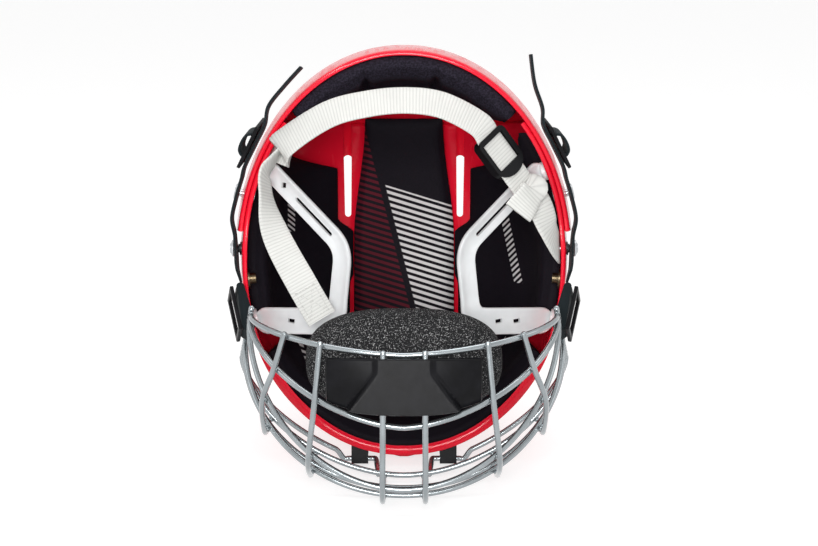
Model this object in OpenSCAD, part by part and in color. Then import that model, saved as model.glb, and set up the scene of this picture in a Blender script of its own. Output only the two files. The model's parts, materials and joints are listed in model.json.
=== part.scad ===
// Ice hockey helmet with a hinged wire cage, lying face down.
// The helmet's own axes are x to the wearer's right, y towards the crown and z towards
// the nape. lay() then tips the finished helmet onto its cage and forehead, floor at z = 0.

/* [Shell] */
// Width of the rear shell at its girth
shell_w = 221; // [208:1:234]
// Length of the shell ahead of the ear line
shell_front = 134; // [126:1:144]
// Length of the shell behind the ear line
shell_back = 138; // [130:1:146]
// Height of the crown above the ear line
shell_top = 138; // [130:1:148]
// Height of the girth, the widest level
girth_h = 36; // [30:1:42]
// Wall of both shells
shell_wall = 3.2; // [2.6:0.1:3.8]
// Extra thickness of the shell's edge over the brow
brow_lip = 3; // [2:0.5:4]
// Height of the two ridges over the forehead
ridge_h = 3; // [2.4:0.1:4]
// Height of the brow edge
brow_h = 22; // [18:1:26]
// Height of the shell edge at the temple
temple_h = -12; // [-15:1:-10]
// Height of the shell edge at the ear
ear_h = -18; // [-22:1:-16]
// Height of the shell edge at the nape
nape_h = -42; // [-50:1:-36]

/* [Size adjustment] */
// Place of the rear shell's front edge
split_z = 18; // [14:1:20]
// Length of the lap under the rear shell
lap_len = 74; // [72:1:78]
// Clearance between the two shells
lap_gap = 0.4; // [0.3:0.1:0.6]
// Travel of the rear shell
adjust_travel = 10; // [6:1:12]
// Thread diameter of the adjusting screws
adjust_d = 5; // [4:0.5:6]

/* [Vents] */
// Distance of a vent from the middle
vent_x = 36; // [34:1:38]
// Width of a vent
vent_w = 6.5; // [5:0.5:8]
// Start of the vents behind the ear line
vent_z = 25; // [23:1:28]
// Length of the vents in the rear shell
vent_len = 43; // [36:1:48]

/* [Liner] */
// Thickness of the brow, side and crown pads
pad_t = 14; // [10:1:16]
// Thickness of the rear pad
rear_pad_t = 18; // [14:1:22]
// Half width of the crown pad in front
crown_pad_w = 34; // [31:1:35]
// Edge of the side pads beside the vents
side_pad_x = 47; // [46:1:50]
// Height of the lower edge of the side pads
side_pad_h = 17; // [16:1:20]

/* [Ear guards] */
// Width of the guard's arms
guard_w = 12.5; // [11:0.5:14]
// Width of the guard's front arm
guard_front_w = 17; // [14:0.5:19]
// Thickness of the guard
guard_t = 3; // [2.4:0.2:3.4]
// Reach of the guard from its screws
guard_reach = 52; // [46:1:56]
// Fall of the guard below its screws
guard_drop = 30; // [24:1:34]
// Diameter of the guard's screws
guard_screw_d = 4; // [3:0.5:5]

/* [Cage] */
// Diameter of the cage wire
wire_d = 3.6; // [3:0.1:4]
// Diameter of the straight hinge wire
hinge_d = 3.6; // [3:0.1:4]
// Running clearance of the hinge wire in its clips
hinge_fit = 0.05; // [0.02:0.01:0.1]
// Distance of the hinge clips from the middle
clip_x = 29; // [26:1:32]
// Width of a hinge clip
clip_w = 11; // [9:1:13]
// Distance of the centre bars from the middle
bar_x1 = 12.5; // [11:0.5:14]
// Distance of the inner bars from the middle
bar_x2 = 56; // [53:1:58]
// Distance of the outer bars from the middle
bar_x3 = 84; // [81:1:86]

/* [Chin cup] */
// Width of the foam cup
cup_w = 120; // [112:1:126]
// Length of the foam cup, front to back
cup_len = 64; // [58:1:68]
// Depth of the foam cup
cup_depth = 34; // [30:1:38]
// Thickness of the foam
cup_t = 10; // [8:1:12]
// Width of the cup's bracket
bracket_w = 92; // [84:1:94]

/* [Straps] */
// Width of the chin strap
chin_web_w = 19; // [16:1:21]
// Thickness of the chin strap
chin_web_t = 1.6; // [1.2:0.1:2]
// Width of the side straps
side_web_w = 15; // [13:1:16]
// Thickness of the side straps
side_web_t = 1.6; // [1.2:0.1:2]

/* [Accessory nuts] */
// Bore of the visor nuts
visor_bore_d = 4; // [3:0.5:5]
// Outer diameter of the nut's barrel
visor_barrel_d = 7; // [6:0.5:8]

/* [Hidden] */
$fn = 48;

// Roundness of the plan, and of the dome over the girth
plan_n = 2.05;
dome_n = 2.25;
// Share by which the sides and the nape draw in 100 mm below the girth
side_tuck = 0.14;
nape_tuck = 0.1;
// The shell closes at this share of its length, where a small flat facet ends it
tip = 0.9995;
// Gap between neighbours, and between the curved wall and what lies on it
seat = 0.3;
wall_seat = 0.6;
eps = 0.01;
wire_r = wire_d / 2;
front_in = shell_wall + lap_gap;
liner_in = front_in + shell_wall;
lap_end = split_z + lap_len;
vent_end = vent_z + vent_len;

function mix(a, b, t) = a + (b - a) * t;
function ease(t) = t * t * (3 - 2 * t);
function unit(v) = v / norm(v);
function last(list) = list[len(list) - 1];
// Value held between 0 and 1
function part(t) = max(0, min(1, t));
// Point given by its distance in from the right side of the girth
function from_side(d, y, z) = [shell_w / 2 - d, y, z];

// Outline of the shell's lower edge by the angle from the front
function edge_y(th) =
  th < 30 ? brow_h
  : th < 72 ? mix(brow_h, temple_h, ease((th - 30) / 42))
  : th < 98 ? mix(temple_h, ear_h, ease((th - 72) / 26))
  : th < 165 ? mix(ear_h, nape_h, ease((th - 98) / 67))
  : nape_h;

// Dome surface, drawn in by inset on every side
function half_len(z, inset) = (z < 0 ? shell_front : shell_back) - inset;
function half_w(z, inset) =
  (shell_w / 2 - inset) * pow(max(0, 1 - pow(abs(z) / half_len(z, inset), plan_n)), 1 / plan_n);
function plan_share(x, z, inset) =
  pow(pow(abs(x) / (shell_w / 2 - inset), plan_n)
    + pow(abs(z) / half_len(z, inset), plan_n), 1 / plan_n);
function dome_y(x, z, inset) =
  girth_h + (shell_top - inset - girth_h)
    * pow(max(0, 1 - pow(plan_share(x, z, inset), dome_n)), 1 / dome_n);
function draw_in(y, tuck) = y < girth_h ? 1 - tuck * pow((girth_h - y) / 100, 2) : 1;
// Point of the wall below the girth, and of the ring at any height by the angle from the front
function wall_pt(y, z, inset) =
  [half_w(z, inset) * draw_in(y, side_tuck), y, z > 0 ? z * draw_in(y, nape_tuck) : z];
function ring_pt(th, y, inset) =
  let (
    g = y < girth_h ? 1
      : pow(1 - pow((y - girth_h) / (shell_top - inset - girth_h), dome_n), 1 / dome_n),
    front = cos(th) > 0,
    b = (front ? shell_front : shell_back) - inset,
    r = g * pow(pow(abs(sin(th)) / (shell_w / 2 - inset), plan_n)
      + pow(abs(cos(th)) / b, plan_n), -1 / plan_n)
  ) [r * sin(th) * draw_in(y, side_tuck), y,
     -r * cos(th) * (front ? 1 : draw_in(y, nape_tuck))];
function edge_at(z) = edge_y(atan2(half_w(z, 0), -z));
// Outward normal of the right wall below the girth
function wall_normal(y, z, inset) =
  unit(cross(wall_pt(y, z + 1, inset) - wall_pt(y, z - 1, inset),
             wall_pt(y + 1, z, inset) - wall_pt(y - 1, z, inset)) * -1);

// A closed slab between two grids of points, without the runs of cells named in gaps.
// A true cap closes the grid's first or last section across its middle.
module slab(outer, inner, gaps = [], cap_first = false, cap_last = false) {
  n = len(outer);
  m = len(outer[0]);
  all = n * m;
  half = (m - 1) / 2;
  function id(i, j) = i * m + j;
  function open(i, j) =
    i < 0 || j < 0 || i > n - 2 || j > m - 2
      || len([for (g = gaps) if (i >= g[0] && i < g[1] && j == g[2]) 1]) > 0;
  function wall(a, b) = [[b, a, a + all], [b, a + all, b + all]];
  function quad(a, b, c, d) = [[a, b, c], [a, c, d]];
  function cap(i, flip) = [
    for (j = [0:half - 1])
      let (l0 = id(i, j), l1 = id(i, j + 1), r1 = id(i, m - 2 - j), r0 = id(i, m - 1 - j),
           o = flip ? quad(l0, l1, r1, r0) : quad(l1, l0, r0, r1),
           q = flip ? quad(l1, l0, r0, r1) : quad(l0, l1, r1, r0))
      each concat([for (t = o) t], [for (t = q) [for (v = t) v + all]])
  ];
  function sill(i, flip) =
    let (l = id(i, 0), r = id(i, m - 1))
    flip ? quad(l, r, r + all, l + all) : quad(r, l, l + all, r + all);
  function sound(t) = t[0] != t[1] && t[1] != t[2] && t[0] != t[2];
  faces = concat(
    [for (i = [0:n - 2], j = [0:m - 2]) if (!open(i, j))
      let (a = id(i, j), b = id(i, j + 1), c = id(i + 1, j + 1), d = id(i + 1, j))
      each concat(
        quad(a, b, c, d),
        quad(a + all, d + all, c + all, b + all),
        open(i, j - 1) ? wall(d, a) : [],
        open(i, j + 1) ? wall(b, c) : [],
        open(i - 1, j) && !(cap_first && i == 0) ? wall(a, b) : [],
        open(i + 1, j) && !(cap_last && i == n - 2) ? wall(c, d) : []
      )],
    cap_first ? concat(cap(0, false), sill(0, false)) : [],
    cap_last ? concat(cap(n - 1, true), sill(n - 1, true)) : []
  );
  polyhedron(
    points = concat([for (row = outer) each row], [for (row = inner) each row]),
    faces = [for (t = faces) if (sound(t)) t]
  );
}

// A closed solid through a list of like rings, each a convex loop of points
module loft(rings) {
  n = len(rings);
  m = len(rings[0]);
  function id(i, j) = i * m + j % m;
  polyhedron(
    points = [for (ring = rings) each ring],
    faces = concat(
      [for (i = [0:n - 2], j = [0:m - 1])
        each [[id(i, j), id(i + 1, j), id(i + 1, j + 1)], [id(i, j), id(i + 1, j + 1), id(i, j + 1)]]],
      [for (j = [1:m - 2]) [0, j, j + 1]],
      [for (j = [1:m - 2]) [id(n - 1, 0), id(n - 1, j + 1), id(n - 1, j)]]
    )
  );
}

// Smooth curve through points, with steps stretches between each pair
function curve_at(p, i, t) =
  let (
    a = p[max(0, i - 1)], b = p[i], c = p[i + 1], d = p[min(len(p) - 1, i + 2)]
  ) b + 0.5 * t * (c - a + t * (2 * a - 5 * b + 4 * c - d + t * (3 * (b - c) + d - a)));
function curve(p, steps) =
  concat([for (i = [0:len(p) - 2], k = [0:steps - 1]) curve_at(p, i, k / steps)], [last(p)]);
function heading(p, i) = unit(p[min(i + 1, len(p) - 1)] - p[max(i - 1, 0)]);

// Round wire along a path; side is any direction well away from the path
module wire(path, side, r = wire_r, sides = 8) {
  loft([for (i = [0:len(path) - 1])
    let (t = heading(path, i), u = unit(cross(t, side)), v = cross(t, u))
    [for (k = [0:sides - 1])
      path[i] + r * (cos(360 * k / sides) * u + sin(360 * k / sides) * v)]]);
}

// Flat webbing along a path, whose width lies towards the direction across each point
module webbing(path, across, w, t) {
  loft([for (i = [0:len(path) - 1])
    let (h = heading(path, i), n = unit(cross(h, across[i])), c = cross(n, h))
    [path[i] + c * w / 2 - n * t / 2, path[i] + c * w / 2 + n * t / 2,
     path[i] - c * w / 2 + n * t / 2, path[i] - c * w / 2 - n * t / 2]]);
}

// Places children with their x, y and z along three given directions
module frame_at(o, ex, ey, ez) {
  multmatrix([
    [ex[0], ey[0], ez[0], o[0]],
    [ex[1], ey[1], ez[1], o[1]],
    [ex[2], ey[2], ez[2], o[2]]
  ]) children();
}

// Places children on the right wall, with their z pointing out of the helmet
module on_wall(y, z, inset) {
  ez = wall_normal(y, z, inset);
  ex = unit(cross([0, 1, 0], ez));
  frame_at(wall_pt(y, z, inset), ex, cross(ez, ex), ez) children();
}

module both_sides() {
  children();
  mirror([1, 0, 0]) children();
}

module left_side() {
  mirror([1, 0, 0]) children();
}

// Shells
ridge_end = split_z - 8;
cols_arch = 12;
cols_wall = 3;
cols = cols_arch + cols_wall;
rib_x = [0, 16, 19, 27, 30, vent_x, vent_x + vent_w];
rib_share = [0, 0.42, 0.5, 0.7, 0.78, 0.84, 0.9];
vent_col = 5;
rib_n = len(rib_x) - 1;

function col_x(k, z, inset) =
  let (w = half_w(z, inset), xv = min(rib_x[rib_n], rib_share[rib_n] * w))
  k <= rib_n ? min(rib_x[k], rib_share[k] * w)
  : mix(xv, w, sin(90 * (k - rib_n) / (cols_arch - rib_n)));
function col_pt(k, s, z, inset) =
  k <= cols_arch
    ? let (x = col_x(k, z, inset)) [s * x, dome_y(x, z, inset), z]
    : let (p = wall_pt(mix(girth_h, edge_at(z), (k - cols_arch) / cols_wall), z, inset))
      [s * p[0], p[1], p[2]];
function ridge_rise(k, z) =
  (k == 2 || k == 3) && z < ridge_end ? ridge_h * min(1, (ridge_end - z) / 30) : 0;
// Thickening of the front shell's edge, from the brow to the temples
function lip_at(k, z) = k == cols ? brow_lip * part((-z - 56) / 20) : 0;
function shell_row(share, inset, ridged, lipped = false) =
  let (
    z0 = share < 0 ? share * (shell_front - front_in) : share * shell_back,
    rise = function (k) (ridged ? ridge_rise(k, z0) : 0) - (lipped ? lip_at(k, z0) : 0),
    at = function (k, s)
      let (i2 = inset - rise(k)) col_pt(k, s, share * (half_len(share, i2)), i2)
  ) [for (j = [-cols:cols]) at(abs(j), sign(j))];

front_shares = concat(
  [for (k = [0:12]) -sin(asin(tip) * (1 - k / 12))],
  [for (z = [12, vent_z, mix(vent_z, lap_end, 1 / 3), mix(vent_z, lap_end, 2 / 3), lap_end])
    z / shell_back]
);
rear_shares = concat(
  [for (z = [split_z, vent_z, for (k = [1:3]) mix(vent_z, vent_end, k / 3)]) z / shell_back],
  [for (k = [1:9]) sin(mix(asin(vent_end / shell_back), asin(tip), k / 9))]
);
vent_left = cols - vent_col - 1;
vent_right = cols + vent_col;

adjust_z = split_z + 22;
adjust_y = 9;
guard_front_y = 1;
guard_front_z = -40;
guard_rear_y = -14;
guard_rear_z = 57;
visor_y = 2;
visor_z = -14;
stud_y = -10;
stud_z = 6;
guard_hole_d = guard_screw_d + 0.1;
visor_hole_d = visor_bore_d + 0.5;

module front_shell() {
  color("crimson")
  difference() {
    slab([for (f = front_shares) shell_row(f, front_in, true)],
         [for (f = front_shares) shell_row(f, liner_in, false, true)],
         [[14, 17, vent_left], [14, 17, vent_right]], cap_first = true);
    strap_anchors() cylinder(d = rivet_d + 0.1, h = 4 * shell_wall, center = true);
    both_sides() {
      guard_tabs() translate([0, tab_rise / 2, 0])
        cylinder(d = guard_hole_d, h = 4 * shell_wall, center = true);
      on_wall(visor_y, visor_z, liner_in)
        cylinder(d = visor_hole_d, h = 4 * shell_wall, center = true);
      on_wall(adjust_y, adjust_z, liner_in)
        cylinder(d = adjust_d + 0.1, h = 4 * shell_wall, center = true);
      clip_screw_place() translate([0, 0, brow_line(clip_x, front_in)])
        cylinder(d = clip_screw_d + 0.1, h = 6 * shell_wall, center = true);
    }
  }
}

module rear_shell() {
  slot_w = adjust_d + 1;
  color("red")
  difference() {
    slab([for (f = rear_shares) shell_row(f, 0, false)],
         [for (f = rear_shares) shell_row(f, shell_wall, false)],
         [[1, 4, vent_left], [1, 4, vent_right]], cap_last = true);
    both_sides() on_wall(adjust_y, adjust_z, liner_in)
      translate([adjust_travel / 2, 0, 0])
        cube([adjust_travel + slot_w, slot_w, 10 * shell_wall], center = true);
  }
}

// Size adjusters, one each side
adjust_head_d = 11;
// Free height under the screw's head, for the rear shell's flare over its travel
adjust_lift = 0.3 * adjust_travel;
adjust_nut_t = 1.2;

module adjuster_screws() {
  color("silver") both_sides() on_wall(adjust_y, adjust_z, liner_in)
    difference() {
      union() {
        cylinder(d = adjust_d, h = liner_in + adjust_lift);
        translate([0, 0, liner_in + adjust_lift - eps]) cylinder(d = adjust_head_d, h = 2);
      }
      translate([0, 0, liner_in + adjust_lift + 1]) cube([adjust_head_d * 0.7, 1.2, 4], center = true);
    }
}

module adjuster_nuts() {
  color("silver") both_sides() on_wall(adjust_y, adjust_z, liner_in)
    translate([0, 0, -adjust_nut_t - wall_seat])
      difference() {
        cylinder(d = 9, h = adjust_nut_t);
        translate([0, 0, -1]) cylinder(d = adjust_d - 1, h = adjust_nut_t + 2);
      }
}

// Liner pads, thinner towards their edges
function crown_f(u, v) =
  0.45 + 0.55 * pow((1 - pow(abs(2 * u - 1), 5)) * (1 - pow(abs(2 * v - 1), 5)), 0.5);
pad_seat = 0.9;
pad_in = liner_in + pad_seat;
// Reach of the brow pad and of the rear pad to each side of the middle, in degrees
brow_pad_half = 54;
rear_pad_half = 37;
// Heights of the pads' upper edges, and their rise over the shell's edge
brow_pad_top = 86;
rear_pad_top = 84;
rear_pad_end = 62;
pad_rise = 5;
temple_rise = 18;
// Ends of the crown pad, and where it starts to narrow
crown_front_z = -86;
crown_back_z = 92;
crown_taper_z = 10;
crown_taper = 8;
// Gap between the crown pad and the side pads
pad_gap = 2.4;
// Front ends of the side pads beside the crown pad and at their lower edge
side_front_z = -92;
side_low_z = -45;
// The side pads end further forward beside the vents than at their lower edge
side_back_in = lap_end - 34;
side_back_z = lap_end - 12;

function brow_low(th) = edge_y(th) + mix(pad_rise, temple_rise, ease(part(th / 60)));
function rear_high(off) = mix(rear_pad_top, rear_pad_end, ease(part((off - 26) / (rear_pad_half - 26))));
function crown_half(z) =
  crown_pad_w - crown_taper * ease(part((z - crown_taper_z) / (crown_back_z - crown_taper_z)));
// Inner edge of the side pads: beside the crown pad, and back from the vents behind it
function side_in(z) =
  mix(crown_half(z) + pad_gap * (1 + ease(part((-14 - z) / 8))), side_pad_x,
      ease(part((z - vent_z + 11) / 10)));
function side_front(v) = mix(side_front_z, side_low_z, ease(part(v / 0.4)));

module pad(n, m, outer_in, thick, at) {
  slab([for (i = [0:n]) [for (j = [0:m]) at(i / n, j / m, outer_in)]],
       [for (i = [0:n]) [for (j = [0:m])
         at(i / n, j / m, outer_in + thick * crown_f(i / n, j / m))]]);
}

module brow_pad() {
  color("black") pad(28, 7, pad_in, pad_t, function (u, v, inset)
    let (th = mix(brow_pad_half, -brow_pad_half, u))
    ring_pt(th, mix(brow_low(abs(th)), brow_pad_top, v), inset));
}

module crown_pad() {
  color("black") pad(16, 8, pad_in, pad_t, function (u, v, inset)
    let (z = mix(crown_front_z, crown_back_z, u),
         x = mix(-1, 1, v) * crown_half(z))
    [x, dome_y(x, z, inset), z]);
}

module side_pad_right() {
  color("black") pad(15, 10, pad_in, pad_t, function (u, v, inset)
    let (z = mix(side_front(v), mix(side_back_in, side_back_z, v), u),
         w = half_w(z, inset))
    v < 0.6
      ? let (x = mix(side_in(z), w, sin(150 * v))) [x, dome_y(x, z, inset), z]
      : wall_pt(mix(girth_h, side_pad_h, (v - 0.6) / 0.4), z, inset));
}

module side_pad_left() {
  left_side() side_pad_right();
}

module rear_pad() {
  color("dimgray") pad(20, 7, shell_wall + pad_seat, rear_pad_t, function (u, v, inset)
    let (off = mix(rear_pad_half, -rear_pad_half, u))
    ring_pt(180 + off, mix(edge_y(180 - abs(off)) + pad_rise - 1, rear_high(abs(off)), v), inset));
}

// Ear guards: an open loop of plate that stands on two tabs, each screwed to the wall above it
tab_d = 12;
tab_rise = 8;
guard_depth = wall_seat + guard_t / 2;

function under_wall(y, z, depth) = wall_pt(y, z, liner_in) - depth * wall_normal(y, z, liner_in);
guard_front = under_wall(guard_front_y, guard_front_z, guard_depth);
guard_rear = under_wall(guard_rear_y, guard_rear_z, guard_depth);
guard_u = unit(guard_rear - guard_front);
guard_out = [-guard_reach, -guard_drop, 0];
guard_fall = unit(guard_out - guard_u * (guard_out * guard_u));
guard_n = cross(guard_u, guard_fall);
guard_len = norm(guard_rear - guard_front);
guard_deep = norm([guard_reach, guard_drop]);
guard_lap = 0.2;
guard_line = [[0, guard_front_w / 2 - guard_lap], [8, guard_deep],
              [guard_len * 0.58, guard_deep + 2], [guard_len, guard_w / 2 - guard_lap]];

module arm(a, b, w) {
  hull() {
    translate(a) circle(d = w, $fn = 24);
    translate(b) circle(d = w, $fn = 24);
  }
}

// Places children at the middle of each tab, z out of the helmet and y up the wall
module guard_tabs() {
  on_wall(guard_front_y + tab_rise / 2, guard_front_z, liner_in) children();
  on_wall(guard_rear_y + tab_rise / 2, guard_rear_z, liner_in) children();
}

module ear_guard_right() {
  slot_w = 2.6;
  color("white")
  difference() {
    union() {
      frame_at(guard_front, guard_u, guard_fall, guard_n)
        linear_extrude(height = guard_t, center = true)
          difference() {
            for (k = [0:2]) arm(guard_line[k], guard_line[k + 1], k == 0 ? guard_front_w : guard_w);
            arm(mix(guard_line[3], guard_line[2], 0.36), mix(guard_line[3], guard_line[2], 0.82), slot_w);
            for (t = [0.36, 0.62]) translate(mix(guard_line[0], guard_line[1], t))
              square([slot_w, 5], center = true);
            translate(mix(guard_line[3], guard_line[2], 0.17)) square(slot_w * 1.3, center = true);
          }
      guard_tabs() translate([0, 0, -wall_seat - guard_t]) linear_extrude(height = guard_t)
        arm([0, -tab_rise / 2], [0, tab_rise / 2], tab_d);
    }
    guard_tabs() translate([0, tab_rise / 2, 0])
      cylinder(d = guard_hole_d, h = 8 * guard_t, center = true);
  }
}

module ear_guard_left() {
  left_side() ear_guard_right();
}

module ear_guard_screws() {
  head_t = 2;
  head_at = wall_seat + guard_t + 0.1;
  color("silver") both_sides() guard_tabs() translate([0, tab_rise / 2, -head_at]) {
    translate([0, 0, -head_t]) cylinder(d = 2 * guard_screw_d, h = head_t);
    cylinder(d = guard_screw_d, h = head_at + shell_wall - seat);
  }
}

// Threaded nuts for a visor, their flange against the inside of the shell
visor_nut_len = 5.5;
visor_flange_t = 1.5;
visor_flange_d = visor_barrel_d + 6;

module visor_nut_right() {
  color("goldenrod") on_wall(visor_y, visor_z, liner_in)
    translate([0, 0, -wall_seat - visor_nut_len]) difference() {
      union() {
        cylinder(d = visor_barrel_d, h = visor_nut_len);
        translate([0, 0, visor_nut_len - visor_flange_t])
          cylinder(d = visor_flange_d, h = visor_flange_t);
      }
      translate([0, 0, -1]) cylinder(d = visor_bore_d, h = visor_nut_len + 2);
    }
}

module visor_nut_left() {
  left_side() visor_nut_right();
}

// Cage: a straight post each side, and level wires between the posts as half hoops
post_low = from_side(16.5, -55, -30);
post_high = from_side(5, 15, -66);
post_dir = unit(post_high - post_low);
post_fore = unit(cross(post_dir, [1, 0, 0]));
weld_gap = 0.1;

function post_pt(y) = mix(post_low, post_high, (y - post_low[1]) / (post_high[1] - post_low[1]));
// A hoop from its height on the post, its height and reach ahead of the shell in front, and its
// roundness seen from below: [half width, side y, side z, front y, front z, roundness]
function hoop_of(y, front_y, ahead, round_n) =
  let (
    p = post_pt(y),
    front_z = -shell_front - ahead,
    h = unit([0, y - front_y, p[2] - front_z]),
    e = p + post_fore * (wire_r * (1 + abs(h * post_dir)) + weld_gap)
  ) [e[0], e[1], e[2], front_y, front_z, round_n];

chin_hoop = hoop_of(-51, -108, -78.5, 1.5);
jaw_hoop = hoop_of(-46, -106, -35.5, 1.6);
mouth_hoop = hoop_of(-41, -92, 3.5, 1.9);
nose_hoop = hoop_of(-13, -62, 11, 2);
cheek_hoop = hoop_of(-5, -32, 10.5, 2);
eye_hoop = hoop_of(3, -5, 6, 1.8);
top_hoop = hoop_of(11, 27, 5, 1.6);
// Roundness of the hoops' rise from the middle to the posts
hoop_n = 2.1;

function hoop_at(h, t) =
  let (share = pow(abs(sin(t)), 2 / hoop_n),
       rise = pow(abs(cos(t)), 2 / hoop_n),
       reach = pow(max(0, 1 - pow(share, h[5])), 1 / h[5]))
  [h[0] * sign(t) * share, mix(h[1], h[3], rise), mix(h[2], h[4], reach)];
function hoop_angle(h, x) = asin(pow(min(1, x / h[0]), hoop_n / 2));
function hoop_x(h, x) = hoop_at(h, hoop_angle(h, x));
// Outward direction of a hoop at x, in its own level
function hoop_out(h, x) =
  let (n = h[5],
       g = pow(x / h[0], n - 1) / h[0],
       c = pow(max(0, 1 - pow(x / h[0], n)), (n - 1) / n) / (h[2] - h[4]))
  unit([g, 0, -c]);

module hoop(h) {
  color("lightslategray")
    wire([for (k = [-16:16]) hoop_at(h, 90 * k / 16)], [0.05, 1, 0.02]);
}

module cage_chin_wire() { hoop(chin_hoop); }
module cage_jaw_wire() { hoop(jaw_hoop); }
module cage_mouth_wire() { hoop(mouth_hoop); }
module cage_nose_wire() { hoop(nose_hoop); }
module cage_cheek_wire() { hoop(cheek_hoop); }
module cage_eye_wire() { hoop(eye_hoop); }

hinge_y = top_hoop[3];
hinge_z = hoop_x(top_hoop, clip_x)[2];
hinge_half = clip_w / 2 + 2;

module cage_hinge_wire() {
  color("lightslategray") both_sides() translate([clip_x - hinge_half, hinge_y, hinge_z])
    rotate([0, 90, 0]) cylinder(d = hinge_d, h = 2 * hinge_half);
}

module cage_top_wire() {
  outer_x = clip_x + hinge_half + 0.1;
  inner_x = clip_x - hinge_half - 0.1;
  start = hoop_angle(top_hoop, outer_x + 8);
  side_run = concat(
    [[outer_x, hinge_y, hinge_z], [outer_x + 3, hinge_y, hinge_z]],
    [for (k = [0:12]) hoop_at(top_hoop, mix(start, 90, k / 12))]);
  join = hoop_x(eye_hoop, inner_x - 5) + (wire_d + 0.2) * [0, 0.9, -0.4];
  bend = [inner_x - 3, hinge_y - 1, hinge_z - 0.5];
  middle_run = concat([[inner_x, hinge_y, hinge_z]],
    curve([[inner_x - 1.2, hinge_y, hinge_z], bend, mix(bend, join, 0.6), join], 3));
  color("lightslategray") both_sides() {
    wire(side_run, [0.05, 1, 0.02]);
    wire(middle_run, [1, 0.02, 0.05]);
  }
}

// Cage: bars down the outside of the hoops, each leaning as much under the chin as its level
bar_hoops = [chin_hoop, jaw_hoop, mouth_hoop, nose_hoop, cheek_hoop, eye_hoop];
bar_lean = [1, 0.9, 0.5, 0.1, 0, -0.05];
bar_off = wire_d + 0.35;

function bar_pt(x, k) =
  hoop_x(bar_hoops[k], x)
    + bar_off * unit((1 - abs(bar_lean[k])) * hoop_out(bar_hoops[k], x) + [0, -bar_lean[k], 0]);
function bar_path(x_low, x_high) =
  let (
    xs = [for (k = [0:5]) mix(x_low, x_high, min(1, k / 2))],
    pts = [for (k = [0:5]) bar_pt(xs[k], k)],
    first = pts[0] + 2 * unit(pts[0] - pts[1]),
    end = pts[5] + 2 * unit(pts[5] - pts[4])
  ) concat([first], curve(pts, 4), [end]);

module bars(x_low, x_high) {
  color("lightslategray") both_sides() wire(bar_path(x_low, x_high), [1, 0.02, 0.03]);
}

module cage_centre_bars() { bars(bar_x1, bar_x1); }
module cage_inner_bars() { bars(bar_x2 - 6, bar_x2); }
module cage_outer_bars() { bars(bar_x3 - 12, bar_x3); }

module cage_side_posts() {
  color("lightslategray") both_sides() post_frame()
    cylinder(d = wire_d, h = norm(post_high - post_low));
}

// Post frame: z up the post, x out of the helmet's side
module post_frame() {
  ex = unit([1, 0, 0] - post_dir * post_dir[0]);
  frame_at(post_low, ex, cross(post_dir, ex), post_dir) children();
}

// Hinge clips on the brow: a bored block in front of a screwed foot
clip_screw_d = 4;
clip_screw_y = hinge_y + 9;
clip_wall = 1.3;
clip_foot_t = 3.4;
clip_low_y = hinge_y - hinge_d / 2 - clip_wall;
clip_mid_y = hinge_y + hinge_d / 2 + clip_wall;
clip_high_y = clip_screw_y + 4.5;
clip_fore_z = hinge_z - hinge_d / 2 - clip_wall;

function brow_line(x, inset) =
  -half_len(-1, inset) * pow(1 - pow(x / (shell_w / 2 - inset), plan_n), 1 / plan_n);
clip_foot_z = brow_line(clip_x - clip_w / 2, front_in) - clip_foot_t;

module clip_screw_place() {
  translate([clip_x, clip_screw_y, 0]) children();
}

// Block of the clip between two heights, its back shaped to the brow
module clip_block(low_y, high_y, fore_z) {
  back = [for (k = [0:6])
    let (x = clip_x + clip_w * (k / 6 - 0.5)) [x, -brow_line(x, front_in - seat)]];
  translate([0, low_y, 0]) rotate([-90, 0, 0]) linear_extrude(height = high_y - low_y)
    polygon(concat(back, [[clip_x + clip_w / 2, -fore_z], [clip_x - clip_w / 2, -fore_z]]));
}

module brow_clip_right() {
  color("black") difference() {
    union() {
      clip_block(clip_low_y, clip_mid_y, clip_fore_z);
      clip_block(clip_low_y, clip_high_y, clip_foot_z);
    }
    translate([clip_x, hinge_y, hinge_z]) rotate([0, 90, 0])
      cylinder(d = hinge_d + 2 * hinge_fit, h = 2 * clip_w, center = true);
    clip_screw_place() cylinder(d = clip_screw_d + 0.1, h = 4 * shell_front, center = true);
  }
}

module brow_clip_left() {
  left_side() brow_clip_right();
}

module brow_clip_screws() {
  head_t = 2;
  head_z = clip_foot_z - 0.1;
  tip_z = brow_line(clip_x, liner_in) - 0.6;
  color("silver") both_sides() clip_screw_place() {
    translate([0, 0, head_z - head_t]) cylinder(d = 7, h = head_t);
    translate([0, 0, head_z - eps]) cylinder(d = clip_screw_d, h = tip_z - head_z);
  }
}

// Chin cup: foam bowl on the bars, and the bracket that holds it under them
cup_c = [0, chin_hoop[3] + wire_r + cup_depth + 0.2, chin_hoop[4] - 5];
cup_n = 2.6;

function cup_pt(lon, lat, off) =
  let (e = 2 / cup_n, pw = function (v) sign(v) * pow(abs(v), e))
  cup_c + [(cup_w / 2 + off) * pw(cos(lat)) * pw(cos(lon)),
           -(cup_depth + off) * pw(sin(lat)),
           (cup_len / 2 + off) * pw(cos(lat)) * pw(sin(lon))];

module chin_cup_foam() {
  rim = 8;
  n = 32;
  m = 7;
  color("dimgray") difference() {
    cup_solid(0, rim, n, m);
    translate([0, 4, 0]) cup_solid(-cup_t, rim - 30, n, m);
  }
}

module cup_solid(off, rim, n, m) {
  rings = [for (i = [0:m]) [for (j = [0:n - 1]) cup_pt(360 * j / n, mix(rim, 88, i / m), off)]];
  loft(rings);
}

// Bracket: a plate over the front of the cup, with a level upper edge. Its flat middle holds the
// two centre bars, and its wings lie on the foam.
bracket_t = 3;
bracket_top = 2.7;
bracket_share = 0.93;
bracket_middle = wire_d + 3;
wing_drop = 2.4;

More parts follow.
